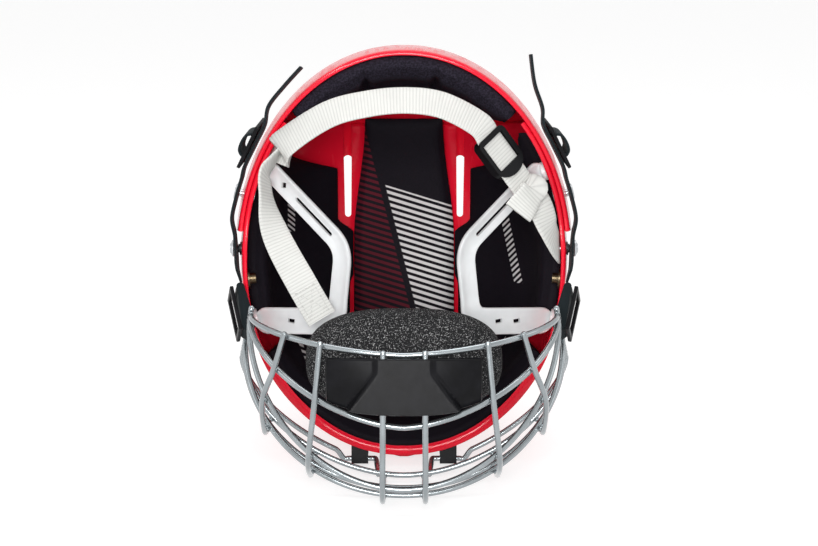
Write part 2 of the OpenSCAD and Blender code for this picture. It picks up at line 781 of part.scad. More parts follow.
// Point of the cup's outer face over a place in its plan
function cup_face(x, z, off) =
  let (share = pow(abs(x) / (cup_w / 2 + off), cup_n) + pow(abs(z) / (cup_len / 2 + off), cup_n))
  cup_c + [x, -(cup_depth + off) * pow(max(0, 1 - share), 1 / cup_n), z];
function bracket_low(x) =
  -bracket_share * cup_len / 2 * pow(1 - pow(abs(x) / (cup_w / 2), cup_n), 1 / cup_n);
// 0 on the flat middle and 1 on the wings, the middle being wider towards its lower edge
function wing_at(x, z) = ease(part((abs(x) - 13 - 0.76 * max(0, -5 - z)) / 8));
// Point of the bracket, at least as far out as a level over its middle
function bracket_pt(u, v, off, drop, level) =
  let (
    x = bracket_w * (u - 0.5),
    z = mix(bracket_low(x), bracket_top, pow(v, 1.6)),
    wing = wing_at(x, z),
    p = cup_face(x, z, off - drop * wing)
  ) [p[0], mix(min(p[1], level), p[1], wing), p[2]];

module chin_cup_bracket() {
  bar_y = bar_pt(bar_x1, 0)[1];
  off_out = cup_c[1] - cup_depth - bar_y + wire_r + bracket_t / 2;
  level = bar_y - wire_r - bracket_t / 2;
  grid = function (off, drop, y)
    [for (i = [0:16]) [for (j = [0:6]) bracket_pt(i / 16, j / 6, off, drop, y)]];
  color("black") difference() {
    slab(grid(off_out, wing_drop, level), grid(wall_seat, 0, level + bracket_middle + 1));
    both_sides() wire(bar_path(bar_x1, bar_x1), [1, 0.02, 0.03], wire_r + seat);
  }
}

// Side straps: from the post back along the shell, through a buckle to a free tail
strap_y = -27.5;
strap_post = post_pt(strap_y);
sleeve_w = side_web_w + 2;
sleeve_t = 9;
sleeve_len = 30;
sleeve_bore = wire_d + 2 * hinge_fit;
strap_lift = 2.6;
rear_lift = 3.8;

// Where the strap leaves the wall below the shell's edge
strap_low_y = -38;
strap_low_z = 72;
buckle_z = 71;
rise_z = split_z - 8;
rise_len = 14;

sleeve_end = strap_post + [5.8, 4, sleeve_len + 2.6];

// Centre of the side strap at a place along the shell
function strap_pt(z) =
  let (y = z < stud_z
         ? mix(stud_y, sleeve_end[1], (stud_z - z) / (stud_z - sleeve_end[2]))
         : mix(stud_y, strap_low_y, (z - stud_z) / (strap_low_z - stud_z)),
       rise = max(0, min(1, (z - rise_z) / rise_len)))
  [wall_pt(y, z, mix(front_in, 0, rise))[0] + mix(strap_lift, rear_lift, rise) + side_web_t / 2, y, z];
function strap_dir(z) = unit(strap_pt(z + 2) - strap_pt(z - 2));
strap_run = concat([sleeve_end], [for (z = [-4, stud_z, 15, 26, 40, 50]) strap_pt(z)],
  [for (d = [-15, 0, 15]) strap_pt(buckle_z) + d * strap_dir(buckle_z)]);
tail_left = [from_side(26.5, -44, 95), from_side(36, -46, 107), from_side(47, -47, 119)];
tail_right = [from_side(24.5, -43, 94), from_side(29.5, -45, 109), from_side(32, -46, 127)];

module side_strap(tail) {
  path = curve(concat(strap_run, tail), 3);
  color("darkslategray") webbing(path, [for (p = path) [0, 1, 0]], side_web_w, side_web_t);
}

module side_strap_right() { side_strap(tail_right); }
module side_strap_left() { left_side() side_strap(tail_left); }

// Sleeve: padded loop of webbing round the post
module side_sleeve_right() {
  ez = post_dir;
  run = sleeve_end - strap_post;
  ex = unit(run - ez * (run * ez));
  reach = run * ex - 2.4;
  color("black") frame_at(strap_post, ex, cross(ez, ex), ez) difference() {
    linear_extrude(height = sleeve_w, center = true) hull() {
      circle(d = sleeve_t, $fn = 24);
      translate([reach - 3, 0]) circle(d = 5, $fn = 16);
    }
    cylinder(d = sleeve_bore, h = 2 * sleeve_w, center = true);
  }
}

module side_sleeve_left() { left_side() side_sleeve_right(); }

// Frame on the strap at a place along it: x along the strap, y across, z outwards
module on_strap(z) {
  ex = strap_dir(z);
  ez = unit(cross([0, 1, 0], ex));
  frame_at(strap_pt(z), ex, cross(ez, ex), ez) children();
}

buckle_len = 30;
buckle_t = 2.2;
buckle_lift = side_web_t / 2 + 2.7 * seat;

module side_buckle_right() {
  color("black") on_strap(buckle_z) translate([0, 0, buckle_lift])
    linear_extrude(height = buckle_t) difference() {
      square([buckle_len, side_web_w + 6], center = true);
      for (s = [-1, 1]) translate([s * buckle_len / 4, 0])
        square([buckle_len / 2 - 5, side_web_w + 1], center = true);
    }
}

module side_buckle_left() { left_side() side_buckle_right(); }

// Fold of webbing over the buckle's middle bar
module side_fold_right() {
  foot = buckle_len / 4;
  top = buckle_lift + buckle_t + seat + side_web_t;
  half = [[-foot, 0, buckle_lift + side_web_t / 2], [-foot, 0, top - 1], [-foot + 2.5, 0, top + 1.5],
          [0, 0, top + 2.2]];
  path = concat(half, [for (k = [2:-1:0]) [-half[k][0], 0, half[k][2]]]);
  color("darkslategray") on_strap(buckle_z)
    webbing(path, [for (p = path) [0, 1, 0]], side_web_w, side_web_t);
}

module side_fold_left() { left_side() side_fold_right(); }

// Rectangular loop outside the sleeve
module side_loop_right() {
  loop_len = 30;
  rail = 3;
  ez = post_dir;
  run = sleeve_end - strap_post;
  ex = unit(run - ez * (run * ez));
  ey = cross(ez, ex);
  color("black") frame_at(strap_post, ex, ey, ez)
    translate([loop_len / 2 - 4, sleeve_t / 2 + seat, 0]) rotate([-90, 0, 0])
      linear_extrude(height = 2.4) difference() {
        square([loop_len, sleeve_w + 4], center = true);
        square([loop_len - 2 * rail, sleeve_w + 4 - 2 * rail], center = true);
      }
}

module side_loop_left() { left_side() side_loop_right(); }

// Snap of the side strap: cap on the strap, stud on the shell
module strap_snap_right() {
  color("silver") on_strap(stud_z) translate([0, 0, side_web_t / 2 + 2 * seat]) {
    cylinder(d = 11, h = 1.6);
    cylinder(d = 7, h = 2.6);
  }
}

module strap_snap_left() { left_side() strap_snap_right(); }

module strap_studs() {
  color("silver") both_sides() on_wall(strap_pt(stud_z)[1], stud_z, front_in) {
    translate([0, 0, 0.1]) cylinder(d = 9, h = 0.9);
    cylinder(d = 6, h = strap_lift - seat - 0.2);
  }
}

// Chin strap: from a rivet behind the left ear over the opening to a rivet at the right ear.
// A second, loose leg of webbing hangs from the left rivet under it.
rivet_d = 4;
left_y = -14;
left_z = 73;
web_depth = 2 * wall_seat + chin_web_t / 2;
lap_depth = web_depth + chin_web_t + 4 * seat;
strap_end = 6;

// Places children at the left and the right anchor, z out of the helmet
module left_anchor() {
  left_side() on_wall(left_y, left_z, liner_in) children();
}

module right_anchor() {
  on_wall(stud_y, stud_z, liner_in) children();
}

module strap_anchors() {
  left_anchor() children();
  right_anchor() children();
}

// Direction along the wall at an anchor, nearest to a wanted one
function along_wall(y, z, v) = let (n = wall_normal(y, z, liner_in)) unit(v - n * (v * n));
// End of a strap at the left anchor: flat past its rivet, then leaning off the wall
function left_root(depth, leave, lean) =
  let (o = under_wall(left_y, left_z, depth))
  concat([for (d = [-strap_end, 0, strap_end]) o + d * leave],
         [o + 2.6 * strap_end * unit(leave - lean * left_n)]);
function flip_x(v) = [-v[0], v[1], v[2]];
left_n = wall_normal(left_y, left_z, liner_in);
left_leave = along_wall(left_y, left_z, [-0.1, -1, 0.1]);
right_pt = under_wall(stud_y, stud_z, web_depth);
right_come = along_wall(stud_y, stud_z, [0, 1, -0.1]);

slider_c = from_side(50.5, -45, 65);
slider_x = unit([18, 6, -24]);
slider_across = unit([0.65, 0.54, 0.53]);
slider_z = unit(cross(slider_x, slider_across));
slider_y = cross(slider_z, slider_x);
slider_len = 30;
stretch = 24;

function arch_across(p) = unit([p[0] * 0.9, 45, p[2] - 20]);
// Points of the strap, each with the direction across it
left_flat = cross(left_leave, left_n);
chin_left = [for (p = left_root(lap_depth, left_leave, 0.55)) [flip_x(p), flip_x(left_flat)]];
chin_arch = [for (p = [[-77, -40, 70], [-48, -50, 89], [-22, -54, 96], [2, -55, 98], [24, -53, 95]])
  [p, arch_across(p)]];
chin_straight = [for (k = [-1:0.5:1]) [slider_c + k * stretch * slider_x, slider_y]];
right_flat = cross(wall_normal(stud_y, stud_z, liner_in), right_come);
chin_right = [
  [from_side(26.5, -35, 35), [0.75, 0.5, 0.45]],
  [from_side(19.5, -33, 18), [0.3, 0.5, 0.8]],
  [right_pt - 13 * right_come, right_flat],
  [right_pt, right_flat],
  [right_pt + strap_end * right_come, right_flat]
];
chin_run = concat(chin_left, chin_arch, chin_straight, chin_right);

module chin_strap() {
  path = curve([for (e = chin_run) e[0]], 3);
  across = curve([for (e = chin_run) e[1]], 3);
  color("whitesmoke") difference() {
    webbing(path, across, chin_web_w, chin_web_t);
    strap_anchors() cylinder(d = rivet_d + 0.1, h = 8 * lap_depth, center = true);
  }
}

// Slider on the straight stretch of the chin strap
module on_slider() {
  frame_at(slider_c, slider_x, slider_y, slider_z) children();
}

module strap_slider() {
  long = slider_len;
  wide = chin_web_w + 6;
  thick = 6.4;
  pass = chin_web_t + 2.4;
  color("black") on_slider() difference() {
    translate([-long / 2, -wide / 2, -thick / 2]) cube([long, wide, thick]);
    cube([2 * long, chin_web_w + 2.4, pass], center = true);
    translate([-2, 0, 0]) cube([19, chin_web_w, 2 * thick], center = true);
  }
}

// Short folded end of the chin strap below the slider
module chin_strap_tail() {
  start = slider_c + stretch * slider_x + (chin_web_t + 4 * seat) * slider_z;
  path = curve([start, start + 5 * slider_x + 4 * slider_z, start + [-5, -8, -18]], 4);
  across = curve([slider_y, slider_y, [0.9, 0.3, 0.3]], 4);
  color("whitesmoke") webbing(path, across, chin_web_w, chin_web_t);
}

// Loose leg, flat on the wall at its rivet and then turning to face out of the opening
module chin_strap_leg() {
  leave = along_wall(left_y, left_z, [0.05, -1, -0.15]);
  flat = cross(leave, left_n);
  ends = left_root(web_depth, leave, 0.2);
  loose = [from_side(24.5, -40, 54), from_side(25, -44, 38), from_side(31.5, -48, 14),
           from_side(47.5, -49, -16), from_side(59.5, -46, -37)];
  turned = [[0.3, -1, -0.1], [0.35, -0.95, -0.15], [0.8, -0.5, -0.35],
            [1, -0.15, -0.42], [1, -0.15, -0.42]];
  path = curve(concat(ends, loose), 4);
  across = curve(concat([for (e = ends) flat], turned), 4);
  color("whitesmoke") difference() {
    left_side() webbing(path, across, chin_web_w, chin_web_t);
    left_anchor() cylinder(d = rivet_d + 0.1, h = 8 * lap_depth, center = true);
  }
}

// Rivets of the chin strap, through the shell
module rivet(depth) {
  head_t = 1.6;
  head_at = depth + chin_web_t / 2 + 0.1;
  translate([0, 0, -head_at]) cylinder(d = rivet_d, h = head_at + shell_wall - seat);
  translate([0, 0, -head_at - head_t]) cylinder(d = 2.1 * rivet_d, h = head_t);
}

module chin_strap_rivets() {
  color("silver") {
    left_anchor() rivet(lap_depth);
    right_anchor() rivet(web_depth);
  }
}

// Resting pose: the dip at which the centre bars and the forehead ridges touch one plane
bar_contact = bar_path(bar_x1, bar_x1);
ridge_contact = [for (f = front_shares) if (f < -0.5) each shell_row(f, front_in, true)];

function lowest(points, dip) = min([for (p = points) p[2] * cos(dip) - p[1] * sin(dip)]);
function dip_between(lo, hi, k) =
  let (mid = (lo + hi) / 2)
  k == 0 ? mid
  : lowest(bar_contact, mid) - wire_r < lowest(ridge_contact, mid)
    ? dip_between(mid, hi, k - 1) : dip_between(lo, mid, k - 1);
rest_dip = dip_between(0, 40, 24);
rest_lift = -lowest(ridge_contact, rest_dip);
crown_y = max([for (f = concat(front_shares, rear_shares), p = shell_row(f, f < 0 ? front_in : 0, false))
  p[1] * cos(rest_dip) + p[2] * sin(rest_dip)]);
chin_y = min([for (p = bar_contact) p[1] * cos(rest_dip) + p[2] * sin(rest_dip)]) - wire_r;
rest_y = -(crown_y + chin_y) / 2;

module lay() {
  translate([0, rest_y, rest_lift]) rotate([-rest_dip, 0, 0]) children();
}

lay() front_shell();
lay() rear_shell();
lay() adjuster_screws();
lay() adjuster_nuts();
lay() brow_pad();
lay() crown_pad();
lay() side_pad_left();
lay() side_pad_right();
lay() rear_pad();
lay() ear_guard_left();
lay() ear_guard_right();
lay() ear_guard_screws();
lay() visor_nut_left();
lay() visor_nut_right();
lay() strap_studs();
lay() brow_clip_left();
lay() brow_clip_right();
lay() brow_clip_screws();
lay() cage_hinge_wire();
lay() cage_top_wire();
lay() cage_chin_wire();
lay() cage_jaw_wire();
lay() cage_mouth_wire();
lay() cage_nose_wire();
lay() cage_cheek_wire();
lay() cage_eye_wire();
lay() cage_centre_bars();
lay() cage_inner_bars();
lay() cage_outer_bars();
lay() cage_side_posts();
lay() chin_cup_foam();
lay() chin_cup_bracket();
lay() side_sleeve_left();
lay() side_sleeve_right();
lay() side_strap_left();
lay() side_strap_right();
lay() side_fold_left();
lay() side_fold_right();
lay() side_buckle_left();
lay() side_buckle_right();
lay() side_loop_left();
lay() side_loop_right();
lay() strap_snap_left();
lay() strap_snap_right();
lay() chin_strap();
lay() chin_strap_tail();
lay() strap_slider();
lay() chin_strap_leg();
lay() chin_strap_rivets();
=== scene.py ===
"""Dresses the hockey helmet: glossy shells, foam liner, cage wire, webbing and hardware."""

import json
import math
from collections import namedtuple

import bmesh
import bpy
import numpy as np
from bpy.props import FloatProperty, FloatVectorProperty, PointerProperty
from mathutils import Matrix, Vector


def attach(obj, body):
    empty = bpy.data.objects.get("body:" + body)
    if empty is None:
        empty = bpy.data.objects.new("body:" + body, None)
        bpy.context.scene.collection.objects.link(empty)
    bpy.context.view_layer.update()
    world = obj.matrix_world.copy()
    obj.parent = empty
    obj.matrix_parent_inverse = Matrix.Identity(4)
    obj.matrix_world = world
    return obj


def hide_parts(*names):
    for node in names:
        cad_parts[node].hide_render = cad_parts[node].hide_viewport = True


bl_info = {
    "name": "Hockey helmet with wire cage",
    "version": (1, 0, 0),
    "blender": (4, 5, 0),
    "location": "3D View > Sidebar > Helmet",
    "description": "Builds the visible surfaces of the helmet around its packed solids",
    "category": "Object",
}

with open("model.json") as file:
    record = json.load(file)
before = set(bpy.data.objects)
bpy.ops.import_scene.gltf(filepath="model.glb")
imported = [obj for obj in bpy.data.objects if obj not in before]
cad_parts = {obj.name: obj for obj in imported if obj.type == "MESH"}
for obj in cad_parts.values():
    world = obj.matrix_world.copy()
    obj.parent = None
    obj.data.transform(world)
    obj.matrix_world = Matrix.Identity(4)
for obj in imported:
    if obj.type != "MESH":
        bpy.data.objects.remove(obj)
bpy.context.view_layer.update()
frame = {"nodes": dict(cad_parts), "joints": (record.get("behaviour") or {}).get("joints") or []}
JOINTS = {joint["name"]: joint for joint in frame["joints"]}
MM = 0.001
IMAGE_W, IMAGE_H = 818, 546


def length(name, text, value):
    return FloatProperty(name=name, description=text, default=value, precision=4,
                         unit="LENGTH", subtype="DISTANCE")


def colour(name, text, value):
    return FloatVectorProperty(name=name, description=text, default=value, size=3,
                               min=0, max=1, subtype="COLOR")


class HelmetSizes(bpy.types.PropertyGroup):
    """Sizes of the helmet, the same as those of its solids"""

    shell_w: length("Shell width", "Width of the rear shell at its girth", 0.221)
    shell_front: length("Front length", "Length of the shell ahead of the ear line", 0.134)
    shell_back: length("Back length", "Length of the shell behind the ear line", 0.138)
    shell_top: length("Crown height", "Height of the crown above the ear line", 0.138)
    girth_h: length("Girth height", "Height of the widest level", 0.036)
    shell_wall: length("Shell wall", "Wall of both shells", 0.0032)
    brow_lip: length("Brow lip", "Extra thickness of the shell's edge over the brow", 0.003)
    ridge_h: length("Ridge height", "Height of the ridges over the forehead", 0.003)
    brow_h: length("Brow edge", "Height of the brow edge", 0.022)
    temple_h: length("Temple edge", "Height of the shell edge at the temple", -0.012)
    ear_h: length("Ear edge", "Height of the shell edge at the ear", -0.018)
    nape_h: length("Nape edge", "Height of the shell edge at the nape", -0.042)
    split_z: length("Split", "Place of the rear shell's front edge", 0.018)
    lap_len: length("Lap", "Length of the lap under the rear shell", 0.074)
    lap_gap: length("Lap gap", "Clearance between the two shells", 0.0004)
    adjust_travel: length("Travel", "Travel of the rear shell", 0.010)
    adjust_d: length("Adjuster thread", "Thread diameter of the adjusting screws", 0.005)
    vent_x: length("Vent place", "Distance of a vent from the middle", 0.036)
    vent_w: length("Vent width", "Width of a vent", 0.0065)
    vent_z: length("Vent start", "Start of the vents behind the ear line", 0.025)
    vent_len: length("Vent length", "Length of the vents in the rear shell", 0.043)
    pad_t: length("Pad thickness", "Thickness of the brow, side and crown pads", 0.014)
    rear_pad_t: length("Nape pad thickness", "Thickness of the rear pad", 0.018)
    crown_pad_w: length("Crown pad", "Half width of the crown pad in front", 0.034)
    side_pad_x: length("Side pad edge", "Edge of the side pads beside the vents", 0.047)
    side_pad_h: length("Side pad low edge", "Height of the side pads' lower edge", 0.017)
    guard_w: length("Guard width", "Width of the ear guard's arms", 0.0125)
    guard_front_w: length("Guard front", "Width of the ear guard's front arm", 0.017)
    guard_t: length("Guard thickness", "Thickness of the ear guard", 0.003)
    guard_reach: length("Guard reach", "Reach of the guard from its screws", 0.052)
    guard_drop: length("Guard drop", "Fall of the guard below its screws", 0.030)
    wire_d: length("Wire", "Diameter of the cage wire", 0.0036)
    clip_x: length("Clip place", "Distance of the hinge clips from the middle", 0.029)
    clip_w: length("Clip width", "Width of a hinge clip", 0.011)
    bar_x1: length("Centre bars", "Distance of the centre bars from the middle", 0.0125)
    bar_x2: length("Inner bars", "Distance of the inner bars from the middle", 0.056)
    bar_x3: length("Outer bars", "Distance of the outer bars from the middle", 0.084)
    cup_w: length("Cup width", "Width of the foam cup", 0.120)
    cup_len: length("Cup length", "Length of the foam cup, front to back", 0.064)
    cup_depth: length("Cup depth", "Depth of the foam cup", 0.034)
    cup_t: length("Cup foam", "Thickness of the foam", 0.010)
    bracket_w: length("Bracket width", "Width of the chin cup's bracket", 0.092)
    chin_web_w: length("Chin strap", "Width of the chin strap", 0.019)
    chin_web_t: length("Chin strap thickness", "Thickness of the chin strap", 0.0016)
    side_web_w: length("Side strap", "Width of the side straps", 0.015)
    side_web_t: length("Side strap thickness", "Thickness of the side straps", 0.0016)


class HelmetColours(bpy.types.PropertyGroup):
    """Colours of the helmet's finishes"""

    shell: colour("Shell", "Glossy red of both shells", (0.92, 0.008, 0.032))
    foam: colour("Liner foam", "Black-violet foam of the liner", (0.006, 0.0045, 0.0075))
    nape_foam: colour("Nape foam", "Grey-violet foam of the nape pad", (0.018, 0.015, 0.024))
    print_pale: colour("Pale print", "Pale stripes on the liner", (0.76, 0.74, 0.74))
    print_dark: colour("Dark print", "Maroon stripes on the liner", (0.105, 0.010, 0.020))
    guard: colour("Ear guard", "Milky white of the ear guards", (0.80, 0.82, 0.83))
    wire: colour("Cage wire", "Blue-grey coat of the wire", (0.30, 0.33, 0.345))
    cup: colour("Cup foam", "Charcoal of the chin cup", (0.012, 0.012, 0.013))
    cup_speck: colour("Cup specks", "Pale specks in the chin cup's foam", (0.50, 0.50, 0.50))
    plastic: colour("Black plastic", "Satin black of clips and slider", (0.004, 0.004, 0.005))
    white_web: colour("Chin strap", "White of the chin strap", (0.76, 0.76, 0.73))
    dark_web: colour("Side straps", "Dark slate of the side straps", (0.012, 0.018, 0.021))
    steel: colour("Steel", "Plated steel", (0.55, 0.57, 0.59))
    brass: colour("Brass", "Brass of the visor nuts", (0.13, 0.10, 0.06))
    floor: colour("Floor", "Table under the helmet", (0.50, 0.50, 0.50))


def mix(a, b, t):
    return a + (b - a) * t


def ease(t):
    return t * t * (3 - 2 * t)


def fade(value, start, end):
    """Share of the way from start to end, held between 0 and 1."""
    return np.clip((value - start) / (end - start), 0, 1)


def unit(v):
    v = np.asarray(v, float)
    return v / np.linalg.norm(v, axis=-1, keepdims=True)


def flip_x(v):
    return np.asarray(v, float) * (-1, 1, 1)


def smooth_path(points, steps):
    """Smooth curve through points, with steps stretches between each pair."""
    p = np.asarray(points, float)
    run = []
    for i in range(len(p) - 1):
        a, b, c, d = p[max(0, i - 1)], p[i], p[i + 1], p[min(len(p) - 1, i + 2)]
        for k in range(steps):
            t = k / steps
            run.append(b + 0.5 * t * (c - a + t * (2 * a - 5 * b + 4 * c - d
                                                   + t * (3 * (b - c) + d - a))))
    return np.array(run + [p[-1]])


def run_of(path):
    """Length along a path at each of its points."""
    return np.concatenate(([0], np.cumsum(np.linalg.norm(np.diff(path, axis=0), axis=1))))


Hoop = namedtuple("Hoop", "half_w side_y side_z front_y front_z round_n")


class HelmetForm:
    """Curves and surfaces of the helmet in its own axes, in millimetres.

    x runs to the wearer's right, y towards the crown and z towards the nape.
    """

    # Powers that round the plan, the dome, the wires and the cup.
    plan_n, dome_n, hoop_n, cup_n = 2.05, 2.25, 2.1, 2.6
    # Share that the walls draw in by 100 mm below the girth.
    side_tuck, nape_tuck = 0.14, 0.1
    # Clearance of small pieces, of pieces on the wall, of pads, and of wires at their crossings.
    seat, wall_seat, pad_seat, post_gap, bar_gap = 0.3, 0.6, 0.9, 0.1, 0.35
    # Columns of the shell's grid: over the ridges and vents, down the dome and down the wall.
    ridge_x = (16, 19, 27, 30)
    rib_share = (0, 0.42, 0.5, 0.7, 0.78, 0.84, 0.9)
    rib_steps = (8, 4, 4, 4, 3, 4)
    arch_cols, drop_cols = 28, 14
    tip = 0.9995
    # Where the ridges fade before the split, and the lip grows ahead of the ear line.
    ridge_fade, lip_grow = (8, 38), (56, 76)
    # Fixings on the wall: height, and distance behind the ear line or the split.
    adjust_y, adjust_back = 9, 22
    stud_y, stud_z = -10, 6
    left_y, left_z = -14, 73
    guard_feet = ((1, -40), (-14, 57))
    foot_rise = 4
    # Side strap: height on the post, buckle, its height at the tail, and lift off either shell.
    strap_y, buckle_z = -27.5, 71
    tail_y, tail_z = -38, 72
    strap_lift = (2.6, 3.8)
    # Ends of a post by distance in from the side, height and z, and the sleeve's run from it.
    post_ends = (16.5, -55, -30), (5, 15, -66)
    sleeve_run = (5.8, 4, 32.6)
    # Cup: room above the chin wire and place ahead of it; liner: taper and gap of the pads.
    cup_room, cup_ahead = 0.2, 5
    crown_taper, pad_gap = 8, 2.4
    # Level wires: height at the post, height in front, reach ahead of the shell and roundness.
    top_wire = (11, 27, 5, 1.6)
    hoop_table = {"chin": (-51, -108, -78.5, 1.5), "jaw": (-46, -106, -35.5, 1.6),
                  "mouth": (-41, -92, 3.5, 1.9), "nose": (-13, -62, 11, 2),
                  "cheek": (-5, -32, 10.5, 2), "eye": (3, -5, 6, 1.8)}
    # Side of each level wire on which a bar passes, 1 below it and 0 ahead of it; the bar's overhang.
    bar_lean = (1, 0.9, 0.5, 0.1, 0, -0.05)
    bar_past = 2

    def __init__(self, sizes):
        for key in HelmetSizes.__annotations__:
            setattr(self, key, getattr(sizes, key) / MM)
        self.front_in = self.shell_wall + self.lap_gap
        self.liner_in = self.front_in + self.shell_wall
        self.pad_in = self.liner_in + self.pad_seat
        self.lap_end = self.split_z + self.lap_len
        self.vent_end = self.vent_z + self.vent_len
        self.web_in = 2 * self.wall_seat + self.chin_web_t / 2
        self.web_lap = self.web_in + self.chin_web_t + 4 * self.seat
        self.wire_r = self.wire_d / 2
        self.rib_x = (0, *self.ridge_x, self.vent_x, self.vent_x + self.vent_w)
        self.post_low, self.post_high = (self.from_side(*end) for end in self.post_ends)
        self.post_dir = unit(self.post_high - self.post_low)
        self.hoops = {name: self.hoop_of(*values) for name, values in self.hoop_table.items()}
        self.top_hoop = self.hoop_of(*self.top_wire)
        self.hinge = np.array((0, self.top_hoop.front_y, self.hoop_x(self.top_hoop, self.clip_x)[2]))
        slide = JOINTS["rear_shell_slide"]["axis"]
        self.sin_dip, self.cos_dip = slide[1], slide[2]
        self.dip = math.atan2(self.sin_dip, self.cos_dip)
        hinge_at = np.array(JOINTS["cage_hinge"]["pos_m"]) / MM
        self.rest = hinge_at - self.turn(self.hinge)
        chin = self.hoops["chin"]
        self.cup_c = np.array((0, chin.front_y + self.wire_r + self.cup_depth + self.cup_room,
                               chin.front_z - self.cup_ahead))
        self.strap_post = self.post_pt(self.strap_y)
        self.sleeve_end = self.strap_post + self.sleeve_run

    def from_side(self, d, y, z):
        """Point at a distance in from the shell's right side."""
        return np.array((self.shell_w / 2 - d, y, z))

    def turn(self, axes):
        """Directions of the helmet as it lies face down."""
        a = np.asarray(axes, float)
        x, y, z = a[..., 0], a[..., 1], a[..., 2]
        return np.stack((x, y * self.cos_dip + z * self.sin_dip,
                         z * self.cos_dip - y * self.sin_dip), -1)

    def lay(self, points):
        """Points of the helmet as it lies face down, in metres."""
        return (self.turn(points) + self.rest) * MM

    def half_len(self, z, inset):
        return np.where(np.asarray(z) < 0, self.shell_front, self.shell_back) - inset

    def half_w(self, z, inset):
        share = np.abs(z) / self.half_len(z, inset)
        room = np.maximum(0, 1 - share ** self.plan_n)
        return (self.shell_w / 2 - inset) * room ** (1 / self.plan_n)

    def dome_y(self, x, z, inset):
        share = ((np.abs(x) / (self.shell_w / 2 - inset)) ** self.plan_n
                 + (np.abs(z) / self.half_len(z, inset)) ** self.plan_n) ** (1 / self.plan_n)
        rise = np.maximum(0, 1 - share ** self.dome_n) ** (1 / self.dome_n)
        return self.girth_h + (self.shell_top - inset - self.girth_h) * rise

    def draw_in(self, y, tuck):
        return 1 - tuck * (np.maximum(0, self.girth_h - y) / 100) ** 2

    def wall_pt(self, y, z, inset):
        x = self.half_w(z, inset) * self.draw_in(y, self.side_tuck)
        back = np.where(np.asarray(z) > 0, z * self.draw_in(y, self.nape_tuck), z)
        return np.stack(np.broadcast_arrays(x, y, back), -1)

    def ring_pt(self, angle, y, inset):
        """Point of the shell at a height, by its angle from the front."""
        th = np.radians(angle)
        over = np.maximum(0, y - self.girth_h) / (self.shell_top - inset - self.girth_h)
        g = (1 - over ** self.dome_n) ** (1 / self.dome_n)
        front = np.cos(th) > 0
        b = np.where(front, self.shell_front, self.shell_back) - inset
        r = g * ((np.abs(np.sin(th)) / (self.shell_w / 2 - inset)) ** self.plan_n
                 + (np.abs(np.cos(th)) / b) ** self.plan_n) ** (-1 / self.plan_n)
        back = np.where(front, 1, self.draw_in(y, self.nape_tuck))
        return np.stack(np.broadcast_arrays(
            r * np.sin(th) * self.draw_in(y, self.side_tuck), y, -r * np.cos(th) * back), -1)

    def edge_y(self, angle):
        """Height of the shell's edge, by the angle from the front."""
        steps = ((30, 72, self.brow_h, self.temple_h), (72, 98, self.temple_h, self.ear_h),
                 (98, 165, self.ear_h, self.nape_h))
        height = np.full(np.shape(angle), self.brow_h, float)
        for start, end, low, high in steps:
            height = np.where(np.asarray(angle) > start,
                              mix(low, high, ease(fade(np.asarray(angle), start, end))), height)
        return height

    def edge_at(self, z):
        return self.edge_y(np.degrees(np.arctan2(self.half_w(z, 0), -np.asarray(z))))

    def wall_normal(self, y, z, inset):
        along = self.wall_pt(y, z + 1, inset) - self.wall_pt(y, z - 1, inset)
        up = self.wall_pt(y + 1, z, inset) - self.wall_pt(y - 1, z, inset)
        return unit(-np.cross(along, up))

    def on_wall(self, y, z, inset):
        """Origin and axes on the right wall, the last axis pointing out of the helmet."""
        ez = self.wall_normal(y, z, inset)
        ex = unit(np.cross((0, 1, 0), ez))
        return self.wall_pt(y, z, inset), ex, np.cross(ez, ex), ez

    def under_wall(self, y, z, depth):
        return self.wall_pt(y, z, self.liner_in) - depth * self.wall_normal(y, z, self.liner_in)

    def foot_at(self, y, z):
        """Origin and axes on the wall at the middle of an ear guard's tab."""
        return self.on_wall(y + self.foot_rise, z, self.liner_in)

    def adjuster_at(self):
        """Origin and axes on the wall under an adjusting screw."""
        return self.on_wall(self.adjust_y, self.split_z + self.adjust_back, self.liner_in)

    def shell_grid(self, shares, inset, ridged=False, lipped=False):
        """Rows of points over the dome and down both walls to the shell's edge."""
        f = np.asarray(shares, float)[:, None]
        ribs = [np.linspace(a, b, n, endpoint=False)
                for a, b, n in zip(self.rib_x, self.rib_x[1:], self.rib_steps)]
        rib = np.concatenate(ribs + [[self.rib_x[-1]]])
        share = np.interp(rib, self.rib_x, self.rib_share)
        arch = np.sin(np.radians(np.linspace(0, 90, self.arch_cols + 1)[1:]))
        drop = np.linspace(0, 1, self.drop_cols + 1)[1:]
        z0 = np.where(f < 0, f * (self.shell_front - self.front_in), f * self.shell_back)
        depth = np.full((len(f), len(rib) + len(arch) + len(drop)), float(inset))
        if ridged:
            bump = ease(np.interp(rib, self.ridge_x, (0, 1, 1, 0)))
            ahead = fade(self.split_z - z0, *self.ridge_fade)
            depth[:, :len(rib)] -= self.ridge_h * bump * ahead
        if lipped:
            thick = self.brow_lip * fade(-z0, *self.lip_grow)
            depth[:, -len(drop):] += thick * np.clip(3 * drop - 2, 0, 1)
        z = f * self.half_len(f, depth)
        w = self.half_w(z, depth)
        n, m = len(rib), len(rib) + len(arch)
        start = np.minimum(rib[-1], share[-1] * w[:, n:m])
        x = np.concatenate((np.minimum(rib, share * w[:, :n]), mix(start, w[:, n:m], arch)), 1)
        dome = np.stack((x, self.dome_y(x, z[:, :m], depth[:, :m]), z[:, :m]), -1)
        low = z[:, m:]
        wall = self.wall_pt(mix(self.girth_h, self.edge_at(low), drop), low, depth[:, m:])
        right = np.concatenate((dome, wall), 1)
        return np.concatenate((flip_x(right[:, :0:-1]), right), 1)

